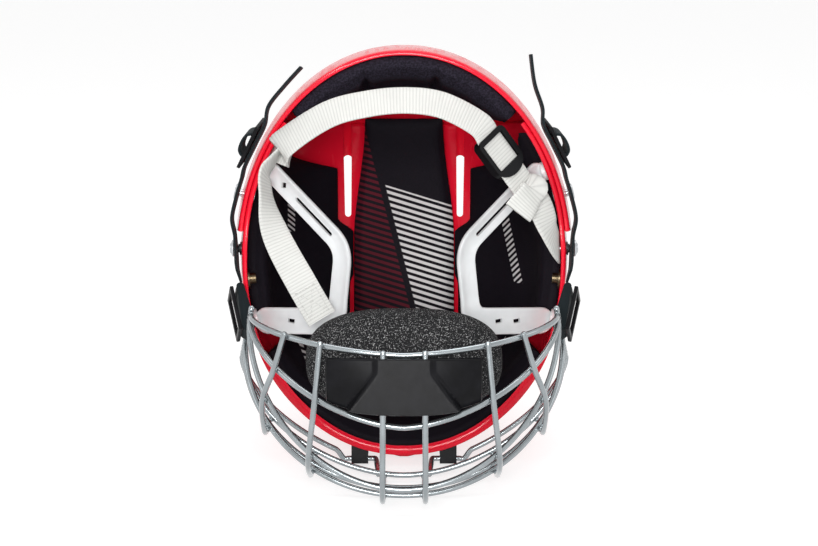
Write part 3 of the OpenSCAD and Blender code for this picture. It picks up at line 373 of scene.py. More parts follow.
    def post_pt(self, y):
        return mix(self.post_low, self.post_high,
                   (y - self.post_low[1]) / (self.post_high[1] - self.post_low[1]))

    def hoop_of(self, y, front_y, ahead, round_n):
        """A level wire from post to post, round the front."""
        p = self.post_pt(y)
        front_z = -self.shell_front - ahead
        h = unit((0, y - front_y, p[2] - front_z))
        fore = unit(np.cross(self.post_dir, (1, 0, 0)))
        end = p + fore * (self.wire_r * (1 + abs(h @ self.post_dir)) + self.post_gap)
        return Hoop(*end, front_y, front_z, round_n)

    def hoop_at(self, h, angle):
        """Point of a level wire, by its angle from the front."""
        t = math.radians(angle)
        share = abs(math.sin(t)) ** (2 / self.hoop_n)
        rise = abs(math.cos(t)) ** (2 / self.hoop_n)
        reach = max(0, 1 - share ** h.round_n) ** (1 / h.round_n)
        return np.array((h.half_w * math.copysign(share, t), mix(h.side_y, h.front_y, rise),
                         mix(h.side_z, h.front_z, reach)))

    def hoop_angle(self, h, x):
        return math.degrees(math.asin(min(1, x / h.half_w) ** (self.hoop_n / 2)))

    def hoop_x(self, h, x):
        """Point of a level wire at a distance from the middle."""
        return self.hoop_at(h, self.hoop_angle(h, x))

    def hoop_out(self, h, x):
        """Direction out of a level wire's curve."""
        n, share = h.round_n, x / h.half_w
        fore = max(0, 1 - share ** n) ** ((n - 1) / n) / (h.side_z - h.front_z)
        return unit((share ** (n - 1) / h.half_w, 0, -fore))

    def bar_points(self, x_low, x_high):
        """Crossing of a bar with each level wire: the wire's middle and the bar's."""
        found = []
        for k, (h, lean) in enumerate(zip(self.hoops.values(), self.bar_lean)):
            x = mix(x_low, x_high, min(1, k / 2))
            at = self.hoop_x(h, x)
            off = unit((1 - abs(lean)) * self.hoop_out(h, x) + np.array((0, -lean, 0)))
            found.append((at, at + (self.wire_d + self.bar_gap) * off))
        return found

    def bar_path(self, x_low, x_high):
        """Middle line of a bar, a little past its outer wires."""
        pts = np.array([bar for _, bar in self.bar_points(x_low, x_high)])
        first = pts[0] + self.bar_past * unit(pts[0] - pts[1])
        end = pts[-1] + self.bar_past * unit(pts[-1] - pts[-2])
        return np.concatenate(([first], smooth_path(pts, 12), [end]))

    def cup_face(self, x, z, off):
        """Point of the cup's outer face over a place in its plan."""
        share = ((np.abs(x) / (self.cup_w / 2 + off)) ** self.cup_n
                 + (np.abs(z) / (self.cup_len / 2 + off)) ** self.cup_n)
        y = -(self.cup_depth + off) * np.maximum(0, 1 - share) ** (1 / self.cup_n)
        return self.cup_c + np.stack((x, y, z), -1)

    def crown_half(self, z):
        """Half width of the crown pad, narrower towards the nape."""
        return self.crown_pad_w - self.crown_taper * ease(fade(z, 10, self.lap_end))

    def side_in(self, z):
        """Inner edge of the side pads: beside the crown pad, and back from the vents."""
        beside = self.crown_half(z) + self.pad_gap * (1 + ease(fade(z, -14, -22)))
        return mix(beside, self.side_pad_x, ease(fade(z, self.vent_z - 11, self.vent_z - 1)))

    def cup_pt(self, lon, lat, off):
        """Point of the cup by angles round it and down it."""
        e = 2 / self.cup_n
        lon, lat = np.radians(lon), np.radians(lat)

        def power(v):
            return np.sign(v) * np.abs(v) ** e
        return self.cup_c + np.stack(np.broadcast_arrays(
            (self.cup_w / 2 + off) * power(np.cos(lat)) * power(np.cos(lon)),
            -(self.cup_depth + off) * power(np.sin(lat)),
            (self.cup_len / 2 + off) * power(np.cos(lat)) * power(np.sin(lon))), -1)

    def strap_pt(self, z):
        """Middle of the side strap at a place along the shell."""
        end = self.sleeve_end
        y = (mix(self.stud_y, end[1], (self.stud_z - z) / (self.stud_z - end[2]))
             if z < self.stud_z else
             mix(self.stud_y, self.tail_y, (z - self.stud_z) / (self.tail_z - self.stud_z)))
        rise = fade(z, self.split_z - 8, self.split_z + 6)
        x = float(self.wall_pt(y, z, mix(self.front_in, 0, rise))[0])
        return np.array((x + mix(*self.strap_lift, rise) + self.side_web_t / 2, y, z))

    def strap_frame(self, z):
        """Origin and axes on the side strap: along it, across it and outwards."""
        ex = unit(self.strap_pt(z + 2) - self.strap_pt(z - 2))
        ez = unit(np.cross((0, 1, 0), ex))
        return self.strap_pt(z), ex, np.cross(ez, ex), ez

    def side_run(self, tail):
        """Points of the side strap from its sleeve through the buckle to its tail."""
        at, ex = self.strap_frame(self.buckle_z)[:2]
        run = [self.sleeve_end] + [self.strap_pt(z) for z in (-4, self.stud_z, 15, 26, 40, 50)]
        return run + [at + d * ex for d in (-15, 0, 15)] + list(tail)

    def along_wall(self, y, z, v):
        """A direction turned to lie in the wall."""
        n = self.wall_normal(y, z, self.liner_in)
        return unit(v - n * (np.asarray(v, float) @ n))

    def left_root(self, depth, leave, lean):
        """First points of a strap under its rivet at the left ear, leaving the wall."""
        o = self.under_wall(self.left_y, self.left_z, depth)
        n = self.wall_normal(self.left_y, self.left_z, self.liner_in)
        return [o + d * leave for d in (-6, 0, 6)] + [o + 15.6 * unit(leave - lean * n)]


def place(points, at):
    """Local points carried to an origin with three axes."""
    o, ex, ey, ez = at
    p = np.asarray(points, float)
    return o + p[..., :1] * ex + p[..., 1:2] * ey + p[..., 2:3] * ez


def slab(outer, inner, rim, steps=4, cap_first=False, cap_last=False):
    """A closed skin over two grids of points, with a rounded rim that stands out by rim."""
    n, m = outer.shape[:2]
    ids = np.arange(n * m).reshape(n, m)
    faces = []
    for i in range(n - 1):
        for j in range(m - 1):
            q = [ids[i, j], ids[i, j + 1], ids[i + 1, j + 1], ids[i + 1, j]]
            faces += [q, [v + n * m for v in q[::-1]]]
    for on, i in ((cap_first, 0), (cap_last, n - 1)):
        for j in range((m - 1) // 2 if on else 0):
            q = [ids[i, j], ids[i, j + 1], ids[i, m - 2 - j], ids[i, m - 1 - j]]
            q = q[:2] + q[3:] if q[1] == q[2] else q
            faces += [q, [v + n * m for v in q[::-1]]]
    ring = [(i, 0) for i in range(n)]
    ring += [] if cap_last else [(n - 1, j) for j in range(1, m - 1)]
    ring += [(i, m - 1) for i in range(n - 1, -1, -1)]
    ring += [] if cap_first else [(0, j) for j in range(m - 2, 0, -1)]
    points = [outer.reshape(-1, 3), inner.reshape(-1, 3)]
    strips = [[ids[i, j] for i, j in ring]]
    total = 2 * n * m
    out = []
    for i, j in ring:
        away = np.zeros(3)
        if j in (0, m - 1):
            away += unit(outer[i, j] - outer[i, 1 if j == 0 else m - 2])
        if (i == 0 and not cap_first) or (i == n - 1 and not cap_last):
            away += unit(outer[i, j] - outer[1 if i == 0 else n - 2, j])
        out.append(unit(away))
    out = np.array(out)
    top = np.array([outer[i, j] for i, j in ring])
    low = np.array([inner[i, j] for i, j in ring])
    for k in range(1, steps):
        a = math.pi * k / steps
        points.append(mix(top, low, (1 - math.cos(a)) / 2) + rim * math.sin(a) * out)
        strips.append(list(range(total, total + len(ring))))
        total += len(ring)
    strips.append([ids[i, j] + n * m for i, j in ring])
    for s, t in zip(strips, strips[1:]):
        for k in range(len(ring)):
            faces.append([s[k - 1], s[k], t[k], t[k - 1]])
    return np.concatenate(points), faces


def loft(rings):
    """A skin through like closed rings, with flat ends."""
    rings = np.asarray(rings, float)
    n, m = rings.shape[:2]
    faces = [[i * m + j, i * m + (j + 1) % m, (i + 1) * m + (j + 1) % m, (i + 1) * m + j]
             for i in range(n - 1) for j in range(m)]
    faces += [list(range(m))[::-1], list(range((n - 1) * m, n * m))]
    return rings.reshape(-1, 3), faces


def headings(path):
    ahead = np.concatenate((path[1:], path[-1:]))
    behind = np.concatenate((path[:1], path[:-1]))
    return unit(ahead - behind)


# Rounded end of a wire: how far it stands out and its radius, as shares of the wire's radius.
WIRE_END = ((0.42, 0.35), (0.3, 0.75), (0.12, 0.94))
WIRE_SIDES = 14


def tube(path, side, r):
    """Round wire along a path with rounded ends."""
    t = headings(path)
    u = unit(np.cross(t, side))
    v = np.cross(t, u)
    angle = np.linspace(0, 2 * math.pi, WIRE_SIDES, endpoint=False)
    cos, sin = np.cos(angle)[:, None], np.sin(angle)[:, None]
    stations = [(0, -s, c) for s, c in WIRE_END] + [(i, 0, 1) for i in range(len(path))]
    stations += [(len(path) - 1, s, c) for s, c in WIRE_END[::-1]]
    return loft([path[i] + r * s * t[i] + r * c * (cos * u[i] + sin * v[i]) for i, s, c in stations])


def sweep(path, half, section, across, up):
    """A closed section along a path; section holds pairs of share of the half width and height."""
    return loft([path[i] + np.outer([s * half[i] for s, _ in section], across[i])
                 + np.outer([h for _, h in section], up[i]) for i in range(len(path))])


def band(path, across, half, section):
    """A strip along a path, with every point's length along the strip and place across it."""
    path = np.asarray(path, float)
    half = np.broadcast_to(half, len(path))
    t = headings(path)
    n = unit(np.cross(t, across))
    run = run_of(path)
    where = [(run[i] * MM, s * half[i] * MM) for i in range(len(path)) for s, _ in section]
    return (*sweep(path, half, section, np.cross(n, t), n), where)


def web_section(w, t):
    """Section of flat webbing with rounded selvedges."""
    edge = 1 - 0.7 * t / w
    top = [(s, t / 2) for s in np.linspace(edge, -edge, 9)]
    left = [(-1 + 0.15 * t / w, 0.3 * t), (-1, 0), (-1 + 0.15 * t / w, -0.3 * t)]
    low = [(s, -t / 2) for s in np.linspace(-edge, edge, 9)]
    right = [(-s, -h) for s, h in left]
    return top + left + low + right


def lathe(profile, sides=28):
    """A turned shape from pairs of radius and height, closed at both ends."""
    angle = np.linspace(0, 2 * math.pi, sides, endpoint=False)
    rings = [np.stack((r * np.cos(angle), r * np.sin(angle), np.full(sides, h)), -1)
             for r, h in profile]
    return loft(rings)


def capsule(a, b, w, sides=12):
    """Outline of a slot from a to b, of width w, in a plane."""
    a, b = np.asarray(a, float), np.asarray(b, float)
    d = math.atan2(b[1] - a[1], b[0] - a[0])
    turn = np.linspace(-math.pi / 2, math.pi / 2, sides)
    ends = [b + w / 2 * np.array((math.cos(d + t), math.sin(d + t))) for t in turn]
    ends += [a - w / 2 * np.array((math.cos(d + t), math.sin(d + t))) for t in turn]
    return np.array(ends)


def prism(outline, low, high):
    """A plate with a plane outline between two heights."""
    return loft([[(x, y, h) for x, y in outline] for h in (low, high)])


def join(*parts):
    """Several shapes as one list of points and one of faces."""
    points, faces, total = [], [], 0
    for part in parts:
        points.append(np.asarray(part[0], float))
        faces += [[v + total for v in f] for f in part[1]]
        total += len(part[0])
    return np.concatenate(points), faces


def same(part):
    return part


def mirrored(part):
    return (flip_x(part[0]), [f[::-1] for f in part[1]]) + tuple(part[2:])


SIDES = {"right": same, "left": mirrored}
SHARP = 38


def mesh_of(name, points, faces):
    mesh = bpy.data.meshes.new(name)
    mesh.from_pydata(np.asarray(points).tolist(), [], [[int(v) for v in f] for f in faces])
    return mesh


def smooth(mesh, sharp=SHARP):
    """Smooth shading apart from edges sharper than an angle."""
    mesh.shade_smooth()
    mesh.set_sharp_from_angle(angle=math.radians(sharp))


def settle(mesh, sharp=SHARP):
    """Faces outwards, smooth apart from sharp edges."""
    bm = bmesh.new()
    bm.from_mesh(mesh)
    bmesh.ops.recalc_face_normals(bm, faces=bm.faces)
    bm.to_mesh(mesh)
    bm.free()
    smooth(mesh, sharp)


def new_object(name, data):
    obj = bpy.data.objects.new(name, data)
    bpy.context.scene.collection.objects.link(obj)
    return obj


def discard(obj):
    mesh = obj.data
    bpy.data.objects.remove(obj)
    bpy.data.meshes.remove(mesh)


def shape(form, name, part, finish, sharp=SHARP):
    """An object from points in the helmet's axes, laid as the helmet rests."""
    mesh = mesh_of(name, form.lay(part[0]), part[1])
    if len(part) > 2:
        layer = mesh.uv_layers.new(name="strip")
        where = np.array(part[2])
        loops = np.zeros(len(mesh.loops), int)
        mesh.loops.foreach_get("vertex_index", loops)
        layer.data.foreach_set("uv", where[loops].ravel())
    settle(mesh, sharp)
    mesh.materials.append(finish)
    return new_object(name, mesh)


def seat(obj, body, slot, *nodes):
    """Ties a finished piece to its body and hides the solids it stands for; its slot, the name of its
    finish, is not used.
    """
    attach(obj, body)
    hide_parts(*nodes)
    return obj


def bake(obj):
    """Applies an object's modifiers to its mesh."""
    graph = bpy.context.evaluated_depsgraph_get()
    graph.update()
    made = bpy.data.meshes.new_from_object(obj.evaluated_get(graph), depsgraph=graph)
    obj.modifiers.clear()
    old = obj.data
    obj.data = made
    made.name = obj.name
    bpy.data.meshes.remove(old)
    return obj


def carve(obj, cutters, operation="DIFFERENCE"):
    """Cuts shapes, laid as the helmet rests, out of an object."""
    tools = []
    for k, (points, faces) in enumerate(cutters):
        mesh = mesh_of("cutter", points, faces)
        settle(mesh)
        tools.append(new_object(f"cutter_{k}", mesh))
        step = obj.modifiers.new("cut", "BOOLEAN")
        step.object = tools[-1]
        step.operation = operation
        step.solver = "EXACT"
    bake(obj)
    for tool in tools:
        discard(tool)
    smooth(obj.data)


def soften(obj, width, segments=3):
    """Rounds an object's sharp edges."""
    step = obj.modifiers.new("edges", "BEVEL")
    step.width = width * MM
    step.segments = segments
    step.limit_method = "ANGLE"
    step.angle_limit = math.radians(SHARP)
    step.harden_normals = True
    return bake(obj)


def solid_copy(name, node, finish):
    """A merged copy of a solid, free to be softened."""
    mesh = frame["nodes"][node].data.copy()
    mesh.name = name
    bm = bmesh.new()
    bm.from_mesh(mesh)
    bmesh.ops.remove_doubles(bm, verts=bm.verts, dist=1e-6)
    bmesh.ops.dissolve_limit(bm, angle_limit=math.radians(1), verts=bm.verts, edges=bm.edges)
    bm.to_mesh(mesh)
    bm.free()
    settle(mesh)
    mesh.materials.clear()
    mesh.materials.append(finish)
    return new_object(name, mesh)


def copies_tree():
    """Copies of one shape on points, turned by the points' own angles."""
    name = "place_copies"
    if name in bpy.data.node_groups:
        return bpy.data.node_groups[name]
    tree = bpy.data.node_groups.new(name, "GeometryNodeTree")
    for label, kind in (("Points", "Geometry"), ("Shape", "Object"), ("Finish", "Material")):
        tree.interface.new_socket(label, in_out="INPUT", socket_type="NodeSocket" + kind)
    tree.interface.new_socket("Copies", in_out="OUTPUT", socket_type="NodeSocketGeometry")
    source, result, info, angles, spin, put, real, paint = (tree.nodes.new(kind) for kind in (
        "NodeGroupInput", "NodeGroupOutput", "GeometryNodeObjectInfo",
        "GeometryNodeInputNamedAttribute", "FunctionNodeEulerToRotation",
        "GeometryNodeInstanceOnPoints", "GeometryNodeRealizeInstances", "GeometryNodeSetMaterial"))
    angles.data_type = "FLOAT_VECTOR"
    angles.inputs["Name"].default_value = "turn"
    for a, given, b, taken in ((source, "Points", put, "Points"), (source, "Shape", info, "Object"),
                               (info, "Geometry", put, "Instance"), (angles, "Attribute", spin, "Euler"),
                               (spin, "Rotation", put, "Rotation"), (put, "Instances", real, "Geometry"),
                               (real, "Geometry", paint, "Geometry"), (source, "Finish", paint, "Material"),
                               (paint, "Geometry", result, "Copies")):
        tree.links.new(a.outputs[given], b.inputs[taken])
    return tree


def copies(form, name, part, places, finish):
    """One mesh of copies of a small shape; places are origins with three axes."""
    tree = copies_tree()
    mesh = mesh_of(name + "_shape", np.asarray(part[0]) * MM, part[1])
    settle(mesh)
    master = new_object(mesh.name, mesh)
    points = mesh_of(name, form.lay([at[0] for at in places]), [])
    turn = points.attributes.new("turn", "FLOAT_VECTOR", "POINT")
    for k, at in enumerate(places):
        turn.data[k].vector = Matrix(form.turn(np.array(at[1:])).T.tolist()).to_euler()
    obj = new_object(name, points)
    step = obj.modifiers.new("copies", "NODES")
    step.node_group = tree
    ids = {item.name: item.identifier for item in tree.interface.items_tree}
    step[ids["Shape"]] = master
    step[ids["Finish"]] = finish
    bake(obj)
    discard(master)
    if "turn" in obj.data.attributes:
        obj.data.attributes.remove(obj.data.attributes["turn"])
    return obj


LOOK = "look_"


class Nodes:
    """Adds nodes to a shader tree."""

    def __init__(self, tree):
        self.tree = tree

    def feed(self, socket, value):
        if isinstance(value, bpy.types.NodeSocket):
            self.tree.links.new(value, socket)
        else:
            socket.default_value = value

    def node(self, kind, inputs=(), out=0, **settings):
        """One output of a new node, whose inputs are given by name or number."""
        made = self.tree.nodes.new("ShaderNode" + kind)
        for key, value in settings.items():
            setattr(made, key, value)
        for key, value in dict(inputs).items():
            self.feed(made.inputs[key], value)
        return made.outputs[out]

    def math(self, operation, a, b=0.0):
        return self.node("Math", {0: a, 1: b}, operation=operation)

    def plus(self, a, b):
        return self.math("ADD", a, b)

    def times(self, first, *more):
        for value in more:
            first = self.math("MULTIPLY", first, value)
        return first

    def less(self, value):
        """What is left of 1."""
        return self.math("SUBTRACT", 1.0, value)

    def scale_to(self, value, low, high):
        return self.node("MapRange", {"Value": value, "To Min": low, "To Max": high}, "Result")

    def seen(self):
        """1 for rays that show the background, straight, in gloss or through glass."""
        rays = self.node("LightPath").node.outputs
        return self.math("MAXIMUM", rays["Is Camera Ray"], self.math(
            "MAXIMUM", rays["Is Glossy Ray"], rays["Is Transmission Ray"]))


class Finish(Nodes):
    """Builds one procedural material."""

    def __init__(self, name, form):
        self.name = name
        self.form = form
        self.mat = bpy.data.materials.new(LOOK + name)
        self.mat.use_nodes = True
        super().__init__(self.mat.node_tree)
        self.bsdf = self.tree.nodes["Principled BSDF"]

    def put(self, **values):
        """Sets the shader's sockets, or feeds them from nodes."""
        for key, value in values.items():
            self.feed(self.bsdf.inputs[key.replace("_", " ")], value)

    def object_at(self, scale=(1, 1, 1), turn=(0, 0, 0), shift=(0, 0, 0), source=None):
        """Object coordinates, or those of another socket, through a Mapping node."""
        if source is None:
            source = self.node("TexCoord", out="Object")
        return self.node("Mapping", {"Vector": source, "Location": shift, "Rotation": turn,
                                     "Scale": scale}, "Vector")

    def helmet_at(self):
        """Coordinates x and z along the helmet's own axes, in millimetres."""
        form = self.form
        x, y, z = form.rest
        back = (-x, -(y * form.cos_dip - z * form.sin_dip), -(y * form.sin_dip + z * form.cos_dip))
        at = self.object_at((1 / MM,) * 3, (form.dip, 0, 0), back)
        return self.axis(at, "X"), self.axis(at, "Z")

    def strip_at(self, scale):
        """Coordinates along a strip and across it."""
        at = self.object_at(scale, source=self.node("UVMap", out="UV", uv_map="strip"))
        return self.axis(at, "X"), self.axis(at, "Y")

    def axis(self, vector, name):
        return self.node("SeparateXYZ", {0: vector}, name)

    def noise(self, vector, scale, detail=3, rough=0.55):
        return self.node("TexNoise", {"Vector": vector, "Scale": scale, "Detail": detail,
                                      "Roughness": rough}, "Fac")

    def cells(self, vector, scale):
        return self.node("TexVoronoi", {"Vector": vector, "Scale": scale}, "Distance")

    def wave(self, value):
        return self.math("ABSOLUTE", self.math("SINE", value))

    def band(self, value, low, high):
        """Smooth step from 0 at low to 1 at high."""
        return self.node("MapRange", {"Value": value, "From Min": low, "From Max": high}, "Result",
                         interpolation_type="SMOOTHSTEP")

    def between(self, value, low, high, soft):
        """1 from low to high, with soft ends, and 0 outside."""
        return self.times(self.band(value, low, low + soft),
                          self.less(self.band(value, high - soft, high)))

    def phase(self, value, pitch):
        return self.math("FRACT", self.math("DIVIDE", value, pitch))

    def blend(self, share, a, b):
        a, b = (v if isinstance(v, bpy.types.NodeSocket) else (*v, 1) for v in (a, b))
        return self.node("Mix", {0: share, 6: a, 7: b}, 2, data_type="RGBA")

    def mottle(self, share, rgb, low, high):
        """A colour that varies between two strengths of itself."""
        dark, light = (tuple(min(1.0, c * factor) for c in rgb) for factor in (low, high))
        return self.blend(share, dark, light)

    def relief(self, *layers):
        """Stacks bumps given as height, strength and depth in millimetres."""
        under = {}
        for height, strength, depth in layers:
            under = {"Normal": self.node("Bump", {"Height": height, "Strength": strength,
                                                  "Distance": depth * MM, **under}, "Normal")}
        self.put(**under)


def shell_finish(f, hues):
    """Glossy moulded red with faint flow marks and fine scuffs."""
    at = f.object_at()
    scuff = f.noise(f.object_at((260, 40, 60), (0.3, 0.5, 0.2)), 1, 4)
    f.put(Specular_IOR_Level=0.2, Coat_Weight=0.1, Coat_Roughness=0.05,
          Base_Color=f.mottle(f.band(f.noise(at, 9, 2), 0.3, 0.7), hues.shell, 0.86, 1.06),
          Roughness=f.scale_to(f.band(scuff, 0.45, 0.8), 0.17, 0.36))
    f.relief((f.noise(at, 420, 2), 0.05, 0.2))


def foam(f, rough, specks):
    """Fine closed cells and a soft unevenness; gives the coordinates and the pores."""
    at = f.object_at()
    pores = f.band(f.cells(at, 1500), 0.05, 0.55)
    f.put(Roughness=rough, Specular_IOR_Level=0.12)
    f.relief((f.noise(at, 70, 2), 0.35, 0.6), (pores, 0.5 * specks, 0.25))
    return at, pores


def nape_finish(f, hues):
    """Coarse grey-violet foam with a fine grain."""
    at, _ = foam(f, 0.85, 1.3)
    grain = f.band(f.noise(at, 900, 2, 0.7), 0.4, 0.62)
    f.put(Base_Color=f.mottle(grain, hues.nape_foam, 0.55, 1.5))


def crown_finish(f, hues):
    """Slanted pale and maroon stripes on dark foam."""
    at, pores = foam(f, 0.7, 0.6)
    ground = f.mottle(pores, hues.foam, 0.6, 1.4)
    x, z = f.helmet_at()
    lean, pitch = math.radians(17), 4.0
    level = f.plus(f.times(x, math.sin(lean)), f.times(z, math.cos(lean)))
    side = f.plus(x, f.times(z, 0.25))
    worn = f.band(f.noise(at, 160, 3), 0.12, 0.36)
    cover = f.times(f.between(f.phase(level, pitch), 0.0, 0.59, 0.09), worn)
    dark = f.less(f.band(side, -6.0, -5.0))
    pale = f.times(f.band(side, -1.6, -0.8), f.less(f.band(level, 41.0, 41.6)))
    hue = f.blend(f.times(cover, dark), ground, hues.print_dark)
    f.put(Base_Color=f.blend(f.times(cover, pale), hue, hues.print_pale))


# Rows of dashes: middle at the ear line, lean, half width, start, end, slant and pitch.
DASHES = {
    "side_print_left": ((-77.0, 0.02, 2.4, 15.0, 42.0, 0.9, 3.4),),
    "side_print_right": ((74.0, -0.2, 2.8, -20.0, 28.0, -0.9, 3.4),),
    "brow_print": ((-97.9, -0.457, 1.3, -88.0, -44.0, 0.6, 4.2),
                   (91.0, 0.4, 1.3, -88.0, -44.0, -0.6, 4.2)),
}


def dash_finish(f, hues):
    """Rows of short slanted dashes on dark foam."""
    _, pores = foam(f, 0.7, 0.8)
    tone = f.mottle(pores, hues.foam, 0.6, 1.4)
    x, z = f.helmet_at()
    for middle, lean, half, low, high, slant, pitch in DASHES[f.name]:
        off = f.math("SUBTRACT", x, f.plus(f.times(z, lean), middle))
        within = f.less(f.band(f.math("ABSOLUTE", off), half - 0.3, half))
        phase = f.phase(f.plus(z, f.times(off, slant)), pitch)
        cover = f.times(within, f.between(z, low, high, 0.6), f.between(phase, 0.0, 0.58, 0.12))
        tone = f.blend(cover, tone, hues.print_pale)
    f.put(Base_Color=tone)


def guard_finish(f, hues):
    """Milky plastic that lets some light through."""
    at = f.object_at()
    f.put(Subsurface_Weight=0.35, Subsurface_Scale=0.004, Subsurface_Radius=(1.0, 1.0, 1.0),
          Coat_Weight=0.15, Roughness=f.scale_to(f.noise(at, 240, 3), 0.26, 0.42),
          Base_Color=f.mottle(f.band(f.noise(at, 45, 3), 0.3, 0.75), hues.guard, 0.93, 1.05))
    f.relief((f.noise(at, 300, 2), 0.08, 0.2))


def wire_finish(f, hues):
    """Smooth coat on steel wire, slightly uneven."""
    at = f.object_at()
    wear = f.noise(at, 60, 3)
    f.put(Metallic=0.85, Coat_Weight=0.5, Coat_Roughness=0.05, Roughness=f.scale_to(wear, 0.16, 0.26),
          Base_Color=f.mottle(f.band(wear, 0.3, 0.72), hues.wire, 0.9, 1.08))
    f.relief((f.noise(at, 90, 2), 0.03, 0.1))


def cup_finish(f, hues):
    """Charcoal foam full of pale specks."""
    at = f.object_at()
    grain, patch = f.noise(at, 1250, 2, 0.7), f.scale_to(f.noise(at, 60, 2), 0.55, 1.0)
    speck = f.times(f.band(grain, 0.575, 0.66), patch)
    f.put(Roughness=0.85, Specular_IOR_Level=0.12, Base_Color=f.blend(speck, hues.cup, hues.cup_speck))
    f.relief((f.noise(at, 60, 2), 0.3, 0.5), (grain, 0.7, 0.3))


def plastic_finish(f, hues):
    """Satin black with a fine moulded grain."""
    at = f.object_at()
    f.put(Specular_IOR_Level=0.12, Roughness=f.scale_to(f.noise(at, 600, 3), 0.28, 0.5),
          Base_Color=f.mottle(f.band(f.noise(at, 90, 3), 0.3, 0.75), hues.plastic, 0.75, 1.7))
    f.relief((f.noise(at, 1400, 2), 0.22, 0.15))


# Webbing: ribs to the metre, depth of a rib, strength of the painted shade in the grooves of the weave, and
# sheen.
WEBS = {"white_web": (500, 0.35, 0.2, 0.03), "dark_web": (640, 0.3, 0.35, 0.06)}


def web_finish(f, hues):
    """Woven webbing: ribs across its length and fine yarn along it, with painted shade darkening the grooves
    between them.
    """
    ribs, rib_depth, painted_groove_shade, sheen = WEBS[f.name]
    rgb = getattr(hues, f.name)
    along, across = f.strip_at((ribs, 1400, 1))
    rib = f.wave(f.times(along, math.pi))
    yarn = f.wave(f.plus(f.times(across, math.pi), f.times(along, math.pi / 2)))
    weave = f.plus(f.times(rib, 0.7), f.times(yarn, 0.3))
    # Share of painted light along the weave: 1 on the tops of the ribs and yarn, 0 in the grooves, which get
    # painted shade.
    painted_rib_light = f.band(weave, 0.1, 0.8)
    dirt = f.band(f.noise(f.object_at(), 60, 4), 0.35, 0.75)
    f.put(Roughness=0.8, Specular_IOR_Level=0.15, Sheen_Weight=sheen, Sheen_Roughness=0.4,
          # Painted shade: the colour is darker in the grooves of the weave and lighter on the ribs; the dirt
          # noise darkens it a little more at random.
          Base_Color=f.blend(dirt, f.mottle(painted_rib_light, rgb, 1 - painted_groove_shade, 1),
                             f.mottle(painted_rib_light, rgb, 0.96 - painted_groove_shade, 0.95)))
    f.relief((weave, 0.6, rib_depth))


METAL_ROUGHNESS = {"steel": 0.24, "brass": 0.3}


def metal_finish(f, hues):
    """Plated metal with fine scratches."""
    rough, rgb = METAL_ROUGHNESS[f.name], getattr(hues, f.name)
    scratch = f.noise(f.object_at((900, 60, 90), (0.4, 0.2, 0.9)), 1, 4)
    f.put(Metallic=1.0, Roughness=f.scale_to(scratch, rough * 0.7, rough * 1.6),
          Base_Color=f.mottle(f.band(f.noise(f.object_at(), 150, 3), 0.3, 0.7), rgb, 0.78, 1))
    f.relief((scratch, 0.12, 0.1))


FINISHES = {
    "shell_red": shell_finish, "nape_foam": nape_finish, "crown_print": crown_finish,
    "guard_plastic": guard_finish, "cage_wire": wire_finish, "cup_foam": cup_finish,
    "black_plastic": plastic_finish, **dict.fromkeys(DASHES, dash_finish),
    **dict.fromkeys(WEBS, web_finish), **dict.fromkeys(METAL_ROUGHNESS, metal_finish),
}


class Maker:
    """Shared by the operators that make pieces."""

    bl_options = {"REGISTER", "UNDO"}

    def execute(self, context):
        self.context = context
        self.form = HelmetForm(context.scene.helmet_sizes)
        self.make(self.form)
        return {"FINISHED"}

    def finish(self, name):
        """The named material, made when it is first asked for."""
        if LOOK + name not in bpy.data.materials:
            FINISHES[name](Finish(name, self.form), self.context.scene.helmet_colours)
        return bpy.data.materials[LOOK + name]

    def dress(self, node, part, body, paint, slot=None, sharp=SHARP):
        """A piece in a solid's place, from points in the helmet's axes."""
        piece = shape(self.form, node + "_dress", part, self.finish(paint), sharp)
        return seat(piece, body, slot or paint, node)

    def dress_copy(self, node, body, paint, width, segments=3):
        """A solid's own shape with its edges rounded."""
        piece = solid_copy(node + "_dress", node, self.finish(paint))
        seat(soften(piece, width, segments), body, paint, node)

    def repeat(self, name, part, places, body, paint, *nodes):
        """Copies of a small shape as one piece."""
        seat(copies(self.form, name, part, places, self.finish(paint)), body, paint, *nodes)


